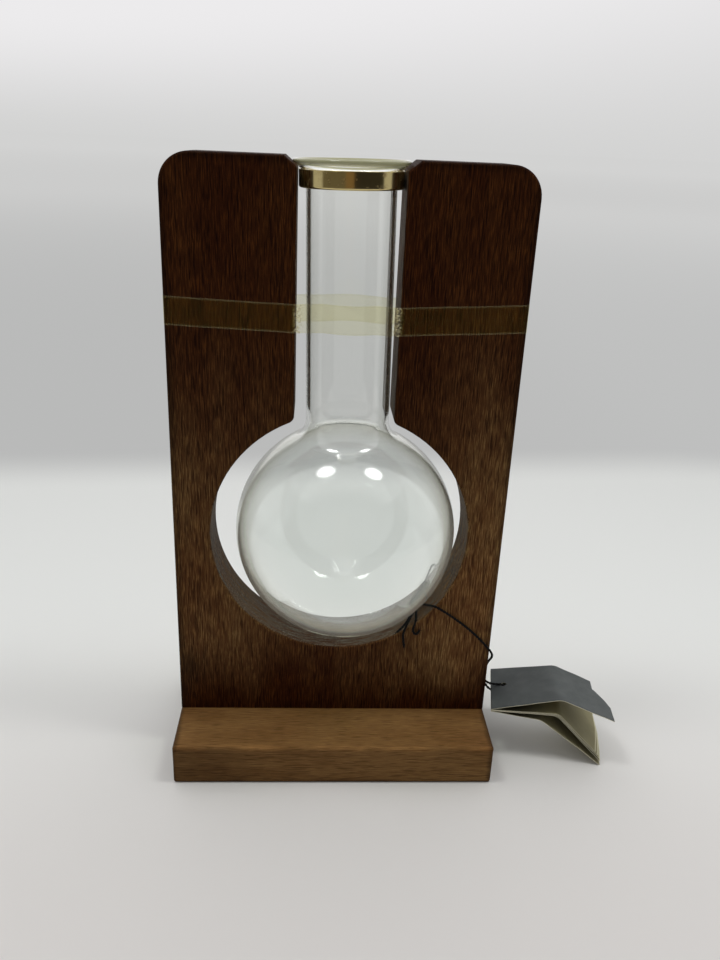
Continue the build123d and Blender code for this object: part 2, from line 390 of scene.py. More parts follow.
@dataclass(frozen=True)
class BaseStainAndLight(StainAndLight):
    """The base's colouring: a painted highlight along its front top edge and painted light on its top face,
    painted shade along its bottom edge, and darker at its ends and at its left front.
    """

    half_width: float
    half_depth: float
    height: float
    # rubbed: the lift of the painted highlight on the front top edge and of the painted light on the top
    # face.
    rubbed: Colour = (1.45, 1.4, 1.35)
    ends: Colour = (0.42, 0.42, 0.46)
    waviness: float = 4 * MM
    edge_highlight_insets: Span = (2.2 * MM, 0.9 * MM)
    edge_highlight_span: Span = (0.3, 0.6)
    top_insets: Span = (1.6 * MM, 0.6 * MM)
    top_light: float = 0.3
    end_insets: Span = (3.2 * MM, 0.4 * MM)
    # foot_span: the height of the painted shade along the bottom edge.
    foot_span: Span = (0.2 * MM, 2.6 * MM)
    left_end: float = -20 * MM
    left_wave: float = 8.0
    left_share: float = 0.55
    front_insets: Span = (0.4 * MM, 2 * MM)

    def paint(self, graph: Graph, colour: Socket) -> Socket:
        """Blends the places into the wood's colour.

        Args:
            graph: The graph to add to.
            colour: The even wood colour.

        Returns:
            The stained colour socket.
        """
        across, deep, up = graph.axes(graph.place())
        cloud = graph.noise(graph.place((0.3 / MM, 1 / MM, 1 / MM)), 0.12, 3.0)
        wavy = graph.wave(cloud, self.waviness)
        high = graph.plus(up, wavy)
        out = graph.plus(graph.math("ABSOLUTE", deep), high)
        # Painted highlight: a broken pale line along the front top edge, and painted light on the top face.
        corner = self.inset(self.half_depth + self.height, self.edge_highlight_insets)
        worn = graph.times(graph.step(out, *corner), graph.step(cloud, *self.edge_highlight_span))
        top = graph.step(up, *self.inset(self.height, self.top_insets), 0.0, self.top_light)
        colour = graph.tone(graph.most(worn, top), colour, self.rubbed)
        beside = graph.plus(graph.math("ABSOLUTE", across), wavy)
        end = graph.step(beside, *self.inset(self.half_width, self.end_insets))
        # Painted shade along the bottom edge, where the base meets the floor; it darkens by the ends factor,
        # as the ends and the left front do.
        low = graph.step(high, *self.foot_span, 1.0, 0.0)
        sideways = graph.plus(across, graph.times(wavy, self.left_wave))
        left = graph.step(sideways, -self.half_width, self.left_end, self.left_share, 0.0)
        first, last = self.inset(self.half_depth, self.front_insets)
        front = graph.step(deep, -first, -last, 1.0, 0.0)
        dark = graph.most(graph.most(end, low), graph.times(left, front))
        return graph.tone(dark, colour, self.ends)


@dataclass(frozen=True)
class WoodFinish(Finish):
    """Stained open-pored wood: a cloudy tone with pale fibres and short dark pores along the grain."""

    name: str
    grain: Grain
    stain_and_light: StainAndLight
    dark: Colour
    light: Colour
    streak: Colour
    pore: Colour
    cloud_per_mm: float = 0.06
    cloud_edge: Span = (0.34, 0.66)
    fibre_per_mm: float = 2.0
    fibre_edge: Span = (0.45, 0.70)
    fibre_height: float = 0.3
    pore_per_mm: float = 2.2
    pore_edge: Span = (0.52, 0.68)
    pore_depth: float = 0.12 * MM
    relief_share: float = 0.6
    roughness: Span = (0.55, 0.72)
    gloss: float = 0.04

    def surface(self, graph: Graph) -> Socket:
        """Clouds of tone, then the places of stains and painted light and shade, then fibres and pores as
        factors on them.
        Args:
            graph: The material's graph.

        Returns:
            The surface's shader.
        """
        fine = graph.place(tuple(np.array(self.grain.value) / MM))
        broad = graph.place(tuple(np.sqrt(self.grain.value) / MM))
        cloud = graph.step(graph.noise(broad, self.cloud_per_mm, 4.0, 0.6), *self.cloud_edge)
        fibre = graph.step(graph.noise(fine, self.fibre_per_mm, 3.0, 0.65), *self.fibre_edge)
        pores = graph.step(graph.noise(fine, self.pore_per_mm, 1.0, 0.4), *self.pore_edge)
        colour = self.stain_and_light.paint(graph, graph.mix(cloud, self.dark, self.light))
        for share, factor in ((fibre, self.streak), (pores, self.pore)):
            colour = graph.tone(share, colour, factor)
        relief = graph.less(graph.times(fibre, self.fibre_height), pores)
        inputs = {
            "Base Color": colour,
            "Roughness": graph.step(fibre, 0.0, 1.0, *self.roughness),
            "Specular IOR Level": self.gloss,
            "Normal": graph.bump(relief, self.pore_depth, self.relief_share),
        }
        return graph.shader(Shader.PRINCIPLED, inputs)


@dataclass(frozen=True)
class GlassFinish(Finish):
    """Clear blown glass with a green body colour, an olive lip, a chalky haze where water has stood, and
    painted shade that tints the bulb darker where its wall is seen face-on.
    """

    name: str = "flask_glass"
    tint: Colour = (0.985, 0.99, 0.985)
    face_on_shade_tint: Colour = (0.92, 0.94, 0.93)
    bulb_top: Span = (156 * MM, 172 * MM)
    face_on_shade_span: Span = (0.1, 0.5)
    face_on_shade_least: float = 0.2
    lip_tint: Colour = (0.46, 0.45, 0.27)
    lip_span: Span = (276.9 * MM, 277.8 * MM)
    lip_haze: float = 0.68
    haze: float = 0.05
    haze_span: Span = (64 * MM, 80 * MM)
    haze_wave: float = 10 * MM
    film: float = 0.005
    bloom_tint: Colour = (0.71, 0.705, 0.60)
    bloom: float = 0.38
    bloom_span: Span = (0.4, 0.85)
    rim_bloom: float = 0.42
    rim_span: Span = (0.8, 0.97)
    chalk_tint: Colour = (0.50, 0.48, 0.38)
    chalk: float = 0.8
    chalk_span: Span = (0.45, 0.9)
    ripple_depth: float = 0.25 * MM
    ripple_share: float = 0.12
    body: Colour = (0.80, 0.86, 0.62)
    density: float = 16.0
    index: float = 1.48
    shadow_tint: Colour = (0.9, 0.92, 0.9)

    def surface(self, graph: Graph) -> Socket:
        """Glass whose haze is a lower transmission, strongest where the wall is seen edge-on.
        Args:
            graph: The material's graph.

        Returns:
            The surface's shader.
        """
        _, _, up = graph.axes(graph.place())
        cloud = graph.noise(graph.place(PER_MM), 0.06, 4.0, 0.6)
        wavy = graph.plus(up, graph.wave(cloud, self.haze_wave))
        scale = graph.step(wavy, *self.haze_span, self.haze, self.film)
        grazing = graph.add("ShaderNodeLayerWeight", {"Blend": 0.5}).outputs["Facing"]
        low = graph.step(up, *self.bulb_top, 1.0, 0.0)
        veil = graph.step(grazing, *self.bloom_span, 0.0, self.bloom)
        rim = graph.step(grazing, *self.rim_span, 0.0, self.rim_bloom)
        bloom = graph.times(graph.plus(veil, rim), low)
        lip = graph.step(up, *self.lip_span)
        milky = graph.most(graph.plus(scale, bloom), graph.times(lip, self.lip_haze))
        # Painted shade: the bulb's wall is tinted darker where it is seen face-on, and less towards its rim.
        face_on_shade = graph.times(low, graph.step(grazing, *self.face_on_shade_span, 1.0, self.face_on_shade_least))
        colour = graph.mix(face_on_shade, self.tint, self.face_on_shade_tint)
        colour = graph.mix(graph.times(bloom, 2.0), colour, self.bloom_tint)
        ripple = graph.noise(graph.place((1 / MM, 1 / MM, 0.4 / MM)), 0.05, 1.0)
        inputs = {
            "Base Color": graph.mix(lip, colour, self.lip_tint),
            "Roughness": 0.0,
            "IOR": self.index,
            "Transmission Weight": graph.less(1.0, milky),
            "Normal": graph.bump(ripple, self.ripple_depth, self.ripple_share),
        }
        glass = graph.shader(Shader.PRINCIPLED, inputs)
        chalky = graph.step(wavy, *self.haze_span, self.chalk, 0.0)
        chalky = graph.times(chalky, graph.step(grazing, *self.chalk_span))
        coated = graph.blend(chalky, glass, graph.shader(Shader.TRANSLUCENT, {"Color": self.chalk_tint}))
        open_way = graph.shader(Shader.TRANSPARENT, {"Color": self.shadow_tint})
        return graph.blend(graph.ray("Shadow"), coated, open_way)

    def volume(self, graph: Graph) -> Optional[Socket]:
        """The glass's body colour, which deepens with the way through it."""
        return graph.shader(Shader.ABSORPTION, {"Color": self.body, "Density": self.density})


@dataclass(frozen=True)
class BrassFinish(Finish):
    """Polished brass with fine drawn lines round it and a little tarnish."""

    name: str = "band_brass"
    metal: Colour = (0.67, 0.55, 0.26)
    tarnish: Colour = (0.36, 0.22, 0.09)
    tarnish_span: Span = (0.5, 0.78)
    tarnish_share: float = 0.6
    dull_share: float = 0.7
    worn_span: Span = (0.1, 0.8)
    roughness: Span = (0.13, 0.34)
    line_scale: Vec3 = (0.08 / MM, 0.08 / MM, 9 / MM)
    line_depth: float = 0.02 * MM
    line_share: float = 0.35

    def surface(self, graph: Graph) -> Socket:
        """Metal whose drawn lines are noise squeezed along Z, duller in spots.
        Args:
            graph: The material's graph.

        Returns:
            The surface's shader.
        """
        lines = graph.noise(graph.place(self.line_scale), 1.0, 3.0)
        dull = graph.step(graph.noise(graph.place(PER_MM), 0.35, 5.0, 0.65), *self.tarnish_span)
        worn = graph.plus(graph.times(dull, self.dull_share), graph.times(lines, 1 - self.dull_share))
        inputs = {
            "Base Color": graph.mix(graph.times(dull, self.tarnish_share), self.metal, self.tarnish),
            "Metallic": 1.0,
            "Roughness": graph.step(worn, *self.worn_span, *self.roughness),
            "Normal": graph.bump(lines, self.line_depth, self.line_share),
        }
        return graph.shader(Shader.PRINCIPLED, inputs)


@dataclass(frozen=True)
class SteelFinish(Finish):
    """Plated steel with fine turning marks."""

    name: str = "screw_steel"
    metal: Colour = (0.56, 0.56, 0.54)
    dull: Colour = (0.3, 0.29, 0.27)
    dull_span: Span = (0.45, 0.75)
    rough_span: Span = (0.3, 0.7)
    roughness: Span = (0.25, 0.45)
    mark_depth: float = 0.03 * MM
    mark_share: float = 0.4

    def surface(self, graph: Graph) -> Socket:
        """Metal whose plating cloudy noise dulls in places.
        Args:
            graph: The material's graph.

        Returns:
            The surface's shader.
        """
        cloud = graph.noise(graph.place(PER_MM), 1.4, 3.0)
        inputs = {
            "Base Color": graph.mix(graph.step(cloud, *self.dull_span), self.metal, self.dull),
            "Metallic": 1.0,
            "Roughness": graph.step(cloud, *self.rough_span, *self.roughness),
            "Normal": graph.bump(cloud, self.mark_depth, self.mark_share),
        }
        return graph.shader(Shader.PRINCIPLED, inputs)


@dataclass(frozen=True)
class TapeFinish(Finish):
    """Clear yellowed film: tinted where light goes through, whiter along its cut edges, with painted glints
    that whiten its creases.
    """

    name: str = "tape_film"
    tint: Colour = (0.982, 0.974, 0.90)
    body: Colour = (0.60, 0.47, 0.08)
    white: Colour = (0.95, 0.95, 0.88)
    veil: float = 0.012
    edge_veil: float = 0.07
    edge_white: float = 0.4
    crease_glint_veil: float = 0.95
    crease_glint_span: Span = (0.44, 0.56)
    crease_glint_least: float = 0.12
    roughness: float = 0.22
    gloss: float = 0.5
    wrinkle_depth: float = 0.05 * MM
    wrinkle_share: float = 0.3

    def surface(self, graph: Graph) -> Socket:
        """Film over a clear way through; the mesh's edge values and the painted glints in its creases set how
        much of it shows.
        Args:
            graph: The material's graph.

        Returns:
            The surface's shader.
        """
        edge = graph.attribute("edge")
        crease_glint = graph.attribute("crease_glint")
        fine = graph.noise(graph.place(PER_MM), 0.9, 3.0)
        # Painted glints: the creases are whitened and made opaque in noisy patches; the cut edges are a
        # little whiter and less clear.
        glint_patches = graph.times(crease_glint, graph.step(fine, *self.crease_glint_span, self.crease_glint_least, 1.0))
        veil = graph.plus(self.veil, graph.times(edge, self.edge_veil))
        veil = graph.most(veil, graph.times(glint_patches, self.crease_glint_veil))
        pale = graph.most(crease_glint, graph.times(edge, self.edge_white))
        inputs = {
            "Base Color": graph.mix(pale, self.body, self.white),
            "Roughness": self.roughness,
            "Specular IOR Level": self.gloss,
            "Normal": graph.bump(fine, self.wrinkle_depth, self.wrinkle_share),
        }
        film = graph.shader(Shader.PRINCIPLED, inputs)
        return graph.blend(veil, graph.shader(Shader.TRANSPARENT, {"Color": self.tint}), film)


@dataclass(frozen=True)
class StringFinish(Finish):
    """Black waxed thread: fine fibres with a faint shine."""

    name: str = "string_cord"
    dye: Colour = (0.004, 0.004, 0.0045)
    fibre: Colour = (0.016, 0.016, 0.016)
    fibre_per_mm: float = 6.0
    fibre_span: Span = (0.45, 0.7)
    fibre_depth: float = 0.06 * MM
    fibre_share: float = 0.6
    roughness: float = 0.62
    gloss: float = 0.06
    sheen: float = 0.02

    def surface(self, graph: Graph) -> Socket:
        """Dyed thread whose short fibres show as fine noise.
        Args:
            graph: The material's graph.

        Returns:
            The surface's shader.
        """
        fibres = graph.noise(graph.place(PER_MM), self.fibre_per_mm, 3.0)
        inputs = {
            "Base Color": graph.mix(graph.step(fibres, *self.fibre_span), self.dye, self.fibre),
            "Roughness": self.roughness,
            "Specular IOR Level": self.gloss,
            "Sheen Weight": self.sheen,
            "Normal": graph.bump(fibres, self.fibre_depth, self.fibre_share),
        }
        return graph.shader(Shader.PRINCIPLED, inputs)


@dataclass(frozen=True)
class PaperFinish(Finish):
    """Matt paper: one colour with a faint cloud, fine tooth, paler rubbed places, painted shade towards the
    spine and a painted highlight at the ends of fanned sheets.
    """

    name: str
    colour: Colour
    rubbed: Colour
    spine_shade: float = 1.0
    spine_shade_span: Span = (88 * MM, 113 * MM)
    end_highlight: Colour = (0.60, 0.57, 0.40)
    rubbed_span: Span = (0.35, 0.8)
    rubbed_tooth: Tuple[float, float, float, float] = (0.2, 0.8, 0.5, 1.0)
    tooth_per_mm: float = 5.0
    tooth_span: Span = (0.3, 0.7)
    tooth_depth: float = 0.03 * MM
    tooth_share: float = 0.5
    roughness: Span = (0.68, 0.82)
    gloss: float = 0.25

    def surface(self, graph: Graph) -> Socket:
        """Paper that cloudy noise moves from its colour to the rubbed one.
        Args:
            graph: The material's graph.

        Returns:
            The surface's shader.
        """
        cloud = graph.noise(graph.place(PER_MM), 0.12, 4.0, 0.6)
        tooth = graph.noise(graph.place(PER_MM), self.tooth_per_mm, 3.0)
        share = graph.times(graph.step(cloud, *self.rubbed_span), graph.step(tooth, *self.rubbed_tooth))
        # Painted shade: the colour is multiplied down towards the spine.
        across, _, _ = graph.axes(graph.place())
        shade = graph.step(across, *self.spine_shade_span, self.spine_shade, 1.0)
        shade = graph.add("ShaderNodeCombineColor", {0: shade, 1: shade, 2: shade}).outputs[0]
        paper = graph.mix(1.0, graph.mix(share, self.colour, self.rubbed), shade, "MULTIPLY")
        inputs = {
            # Painted highlight: the last rows of a fanned sheet take a paler colour, where the sheets' ends
            # catch light.
            "Base Color": graph.mix(graph.attribute("end"), paper, self.end_highlight),
            "Roughness": graph.step(tooth, *self.tooth_span, *self.roughness),
            "Specular IOR Level": self.gloss,
            "Normal": graph.bump(tooth, self.tooth_depth, self.tooth_share),
        }
        return graph.shader(Shader.PRINCIPLED, inputs)


def arc(centre: Tuple[float, float], radius: float, start: float, end: float, steps: int) -> np.ndarray:
    """Points on a round stretch: the centre plus the radius turned from start to end, in radians."""
    turn = np.linspace(start, end, steps)
    return np.column_stack([centre[0] + radius * np.cos(turn), centre[1] + radius * np.sin(turn)])


def straight(first: Sequence[float], last: Sequence[float], steps: int) -> np.ndarray:
    """Points evenly spaced from one point to another."""
    share = np.linspace(0.0, 1.0, steps)[:, None]
    return np.asarray(first) * (1 - share) + np.asarray(last) * share


def chain(*stretches: np.ndarray) -> np.ndarray:
    """Stretches of points laid end to end, with each shared end point kept once."""
    return np.vstack([stretches[0], *[s[1:] for s in stretches[1:]]])


def ripple(places: np.ndarray, seed: int, wave: float, count: int = 7) -> np.ndarray:
    """Smooth seeded waviness from -1 to 1: a mean of sines with random directions, lengths and phases.

    Args:
        places: Points in any number of dimensions, one row each.
        seed: Which waviness.
        wave: The usual wave length.
        count: How many sines.

    Returns:
        One value for each row.
    """
    random = np.random.default_rng(seed)
    ways = random.normal(size=(places.shape[1], count)) * 2 * math.pi / wave / math.sqrt(places.shape[1])
    phases = random.uniform(0, 2 * math.pi, count)
    return np.sin(places @ ways + phases).mean(1)


def unit(rows: np.ndarray) -> np.ndarray:
    """Each row as a direction of length one."""
    return rows / np.linalg.norm(rows, axis=1)[:, None]


def square_to(line: np.ndarray) -> Tuple[np.ndarray, np.ndarray]:
    """Two directions square to a line: its way crossed with a fixed one, and its way crossed with that.

    Args:
        line: The line's points.

    Returns:
        The two directions at each point.
    """
    along = unit(np.gradient(line, axis=0))
    across = unit(np.cross(along, np.array(OFF_LINE)))
    return across, np.cross(along, across)


def distances(line: np.ndarray) -> np.ndarray:
    """How far along a line each of its points lies: the sum of the steps before it."""
    return np.concatenate([[0.0], np.cumsum(np.linalg.norm(np.diff(line, axis=0), axis=1))])


def quads(rows: int, columns: int, closed_rows: bool = False, closed_columns: bool = False) -> np.ndarray:
    """The four corner numbers of each cell of a grid of points, counted row by row.

    Args:
        rows: Points along the first parameter.
        columns: Points along the second one.
        closed_rows: Whether the last row meets the first.
        closed_columns: Whether the last column meets the first.

    Returns:
        One row of four numbers for each cell.
    """
    row, column = np.meshgrid(
        np.arange(rows if closed_rows else rows - 1),
        np.arange(columns if closed_columns else columns - 1),
        indexing="ij",
    )
    next_row, next_column = (row + 1) % rows, (column + 1) % columns
    corners = (row * columns + column, row * columns + next_column)
    corners += (next_row * columns + next_column, next_row * columns + column)
    return np.stack(corners, -1).reshape(-1, 4)


def mesh_object(name: str, points: np.ndarray, faces: Faces, sharp_deg: float = 40.0) -> Piece:
    """Puts worked-out points and faces into a mesh object at the origin.

    Args:
        name: The piece's name.
        points: One row of three for each point.
        faces: Arrays of corner numbers, of any number of corners.
        sharp_deg: Edges that bend more than this stay sharp.

    Returns:
        The object, linked to the scene.
    """
    mesh = bpy.data.meshes.new(name)
    cells = [tuple(cell) for part in faces for cell in part.tolist()]
    mesh.from_pydata(np.asarray(points, float).tolist(), [], cells)
    mesh.polygons.foreach_set("use_smooth", np.ones(len(mesh.polygons), bool))
    mesh.set_sharp_from_angle(angle=math.radians(sharp_deg))
    mesh.update()
    made = bpy.data.objects.new(name, mesh)
    bpy.context.scene.collection.objects.link(made)
    return made


def lathe(profile: np.ndarray, steps: int, poles: bool) -> Shape:
    """Turns a profile about Z: x = r cos a, y = r sin a, z = z for every angle a.

    Args:
        profile: Rows of radius and height, counter-clockwise round the solid's section.
        steps: Angles in a full turn.
        poles: Whether the first and last points lie on the axis; otherwise the profile is a closed ring.

    Returns:
        The points and the faces.
    """
    ring = profile[1:-1] if poles else profile
    angle = np.linspace(0.0, 2 * math.pi, steps, endpoint=False)
    radius, height = ring[:, :1], ring[:, 1:]
    grid = np.stack([radius * np.cos(angle), radius * np.sin(angle), height + 0 * angle], -1)
    points, faces = grid.reshape(-1, 3), [quads(len(ring), steps, not poles, True)]
    if poles:
        first, last = len(points), len(points) + 1
        points = np.vstack([points, [0, 0, profile[0, 1]], [0, 0, profile[-1, 1]]])
        near = np.arange(steps)
        beyond = (near + 1) % steps
        end = (len(ring) - 1) * steps
        faces.append(np.column_stack([np.full(steps, first), beyond, near]))
        faces.append(np.column_stack([np.full(steps, last), end + near, end + beyond]))
    return points, faces


def tube(line: np.ndarray, radius: np.ndarray, sides: int) -> Shape:
    """A closed round tube: at each point of the line, a circle square to it.

    Args:
        line: The tube's centre points.
        radius: Its radius at each point.
        sides: Corners of the circle.

    Returns:
        The points and the faces.
    """
    across, over = square_to(line)
    angle = np.linspace(0.0, 2 * math.pi, sides, endpoint=False)
    circle = np.cos(angle)[None, :, None] * across[:, None] + np.sin(angle)[None, :, None] * over[:, None]
    points = line[:, None] + np.asarray(radius)[:, None, None] * circle
    faces = [quads(len(line), sides, False, True)]
    last = (len(line) - 1) * sides
    faces.append(np.arange(sides)[None, ::-1])
    faces.append(last + np.arange(sides)[None, :])
    return points.reshape(-1, 3), faces


def joined(parts: Sequence[Shape]) -> Shape:
    """Several shapes as one: each one's corner numbers go on from the points before it.

    Args:
        parts: The shapes.

    Returns:
        All points and all faces.
    """
    points, faces, count = [], [], 0
    for shape_points, shape_faces in parts:
        points.append(shape_points)
        faces += [cells + count for cells in shape_faces]
        count += len(shape_points)
    return np.vstack(points), faces


def spline_points(name: str, route: np.ndarray, steps: int) -> np.ndarray:
    """The points of the smooth spline that a route's points control.

    Args:
        name: A name for the passing curve.
        route: The control points.
        steps: Points between two control points.

    Returns:
        The spline's points, in order.
    """
    curve = bpy.data.curves.new(name, "CURVE")
    curve.dimensions = "3D"
    curve.resolution_u = steps
    spline = curve.splines.new("NURBS")
    spline.points.add(len(route) - 1)
    spline.points.foreach_set("co", np.column_stack([route, np.ones(len(route))]).ravel())
    spline.order_u = 3
    spline.use_endpoint_u = True
    holder = bpy.data.objects.new(name, curve)
    bpy.context.scene.collection.objects.link(holder)
    mesh = bpy.data.meshes.new_from_object(holder)
    line = np.zeros(len(mesh.vertices) * 3)
    mesh.vertices.foreach_get("co", line)
    bpy.data.objects.remove(holder)
    bpy.data.curves.remove(curve)
    bpy.data.meshes.remove(mesh)
    return line.reshape(-1, 3)


def dress(piece: Piece, material: Material, body: str, slot: str, *nodes: str) -> Piece:
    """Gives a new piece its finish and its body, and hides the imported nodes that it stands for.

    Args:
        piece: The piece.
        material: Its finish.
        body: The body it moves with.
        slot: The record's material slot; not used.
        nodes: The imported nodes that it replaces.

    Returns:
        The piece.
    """
    piece.data.materials.append(material)
    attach(piece, body)
    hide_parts(*nodes)
    LOG.info("%s: %d points, rides on %s", piece.name, len(piece.data.vertices), body)
    return piece


@dataclass
class Stand:
    """The wooden stand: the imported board, base and screws with their finishes."""

    hole_height: float = 116.4 * MM
    hole_radius: float = 59.4 * MM
    slot_half: float = 21.804 * MM

    def build(self) -> None:
        """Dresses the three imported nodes."""
        low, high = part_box("upright_board")
        board = WoodFinish(
            "board_wood",
            Grain.UPRIGHT,
            BoardStainAndLight(high.x, low.z, high.z, high.y, self.hole_height, self.hole_radius, self.slot_half),
            dark=(0.025, 0.0057, 0.0011),
            light=(0.034, 0.0094, 0.0020),
            streak=(2.6, 3.2, 3.3),
            pore=(0.45, 0.40, 0.38),
        )
        _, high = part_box("base_block")
        base = WoodFinish(
            "base_wood",
            Grain.SIDEWAYS,
            BaseStainAndLight(high.x, high.y, high.z),
            dark=(0.138, 0.068, 0.0225),
            light=(0.185, 0.099, 0.035),
            streak=(1.4, 1.43, 1.5),
            pore=(0.66, 0.63, 0.61),
        )
        finishes = {"upright_board": board, "base_block": base, "base_screws": SteelFinish()}
        for node, finish in finishes.items():
            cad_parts[node].material_slots[0].material = finish.build()
            LOG.info("%s: finish %s", node, finish.name)


@dataclass
class HungFlask:
    """The flask and its band, drawn about the lip's centre, then leant and lifted to where it hangs."""

    lip_height: float = 278.389 * MM
    lean_deg: float = 1.0
    bulb_radius: float = 51.4 * MM
    bulb_wall: float = 1.6 * MM
    bulb_drop: float = 162.689 * MM
    neck_radius: float = 18.7 * MM
    neck_wall: float = 1.8 * MM
    shoulder_radius: float = 10.0 * MM
    flare_radius: float = 10.0 * MM
    lip_radius: float = 23.9 * MM
    band_height: float = 6.2 * MM
    band_wall: float = 0.6 * MM
    band_gap: float = 0.05 * MM
    band_edge: float = 0.28 * MM
    band_hem: float = 0.9 * MM
    turns: int = 192
    bulb_steps: int = 72
    bend_steps: int = 20
    neck_steps: int = 24
    bead_steps: int = 18
    hem_steps: int = 12
    edge_steps: int = 6

    def build(self) -> None:
        """Builds and dresses the glass and the band."""
        points, faces = lathe(self.glass_profile(), self.turns, True)
        glass = mesh_object("flask_blown", self.hung(points), faces)
        dress(glass, GlassFinish().build(), "flask", "flask_glass", "flask")
        points, faces = lathe(self.band_profile(), self.turns, False)
        band = mesh_object("neck_band_rolled", self.hung(points), faces, ROUNDED_DEG)
        dress(band, BrassFinish().build(), "flask", "band_brass", "neck_band")

    def hung(self, points: np.ndarray) -> np.ndarray:
        """Points turned by the lean about Y and lifted to the lip's height.

        Args:
            points: Points about the lip's centre.

        Returns:
            The points where the flask hangs.
        """
        lean = math.radians(self.lean_deg)
        cos, sin = math.cos(lean), math.sin(lean)
        turn = np.array([[cos, 0, -sin], [0, 1, 0], [sin, 0, cos]])
        return points @ turn.T + np.array([0, 0, self.lip_height])

    def flare(self) -> Tuple[float, float, float]:
        """The flare's arc, which goes over into the lip's bead where both have one direction.

        Returns:
            Its centre's radius and height, and how far it turns.
        """
        across = self.neck_radius + self.flare_radius
        bead = self.neck_wall / 2
        reach = self.flare_radius + bead
        turn = math.acos((across - self.lip_radius + bead) / reach)
        return across, -reach * math.sin(turn), turn

    def shoulder(self, bulb: float, neck: float, rounding: float) -> Tuple[float, float, float]:
        """The rounding between a bulb and a neck: it touches both, so its centre closes a right triangle.

        Args:
            bulb: The bulb's radius.
            neck: The neck's radius.
            rounding: The rounding's radius.

        Returns:
            Its centre's radius and height above the bulb's centre, and its direction from there.
        """
        across = neck + rounding
        rise = math.sqrt((bulb + rounding) ** 2 - across**2)
        return across, rise, math.atan2(rise, across)

    def wall(self, bulb: float, neck: float, rounding: float, flare: float) -> np.ndarray:
        """One side of the glass from the foot's pole to the flare's end, as arcs and a line.

        Args:
            bulb: The bulb's radius.
            neck: The neck's radius.
            rounding: The shoulder's radius.
            flare: The flare's radius.

        Returns:
            Rows of radius and height.
        """
        half = math.pi / 2
        across, rise, tilt = self.shoulder(bulb, neck, rounding)
        centre, foot, turn = self.flare()
        level = rise - self.bulb_drop
        return chain(
            arc((0, -self.bulb_drop), bulb, -half, tilt, self.bulb_steps),
            arc((across, level), rounding, tilt + math.pi, math.pi, self.bend_steps),
            straight((neck, level), (neck, foot), self.neck_steps),
            arc((centre, foot), flare, math.pi, math.pi - turn, self.bend_steps),
        )

    def glass_profile(self) -> np.ndarray:
        """The glass's section: the outer wall up, round the lip's bead, and the inner wall down.

        Returns:
            Rows of radius and height, from pole to pole.
        """
        wall = self.neck_wall
        outer = self.wall(self.bulb_radius, self.neck_radius, self.shoulder_radius, self.flare_radius)
        inner = self.wall(
            self.bulb_radius - self.bulb_wall,
            self.neck_radius - wall,
            self.shoulder_radius + wall,
            self.flare_radius + wall,
        )
        turn = self.flare()[2]
        bead = arc((self.lip_radius - wall / 2, 0), wall / 2, -turn, math.pi - turn, self.bead_steps)
        return chain(outer, bead, inner[::-1])

    def band_profile(self) -> np.ndarray:
        """The band's section: a thin upright bar, rounded at the top and rolled inwards in a hem below.

        Returns:
            Rows of radius and height, as a closed ring.
        """
        centre, foot, _ = self.flare()
        inner = centre - math.sqrt(self.flare_radius**2 - self.band_height**2) + self.band_gap
        outer = inner + self.band_wall
        top, edge, hem, half = foot + self.band_height, self.band_edge, self.band_hem, math.pi / 2
        curl = outer - hem, foot
        tip = curl[0], foot - hem + self.band_wall / 2
        steps = self.edge_steps
        rounds = (
            arc(curl, hem, -half, 0.0, self.hem_steps),
            arc((outer - edge, top - edge), edge, 0.0, half, steps),
            arc((inner + edge, top - edge), edge, half, math.pi, steps),
            arc(curl, hem - self.band_wall, 0.0, -half, steps),
            arc(tip, self.band_wall / 2, half, 3 * half, steps)[1:-1],
        )
        return np.vstack(rounds)


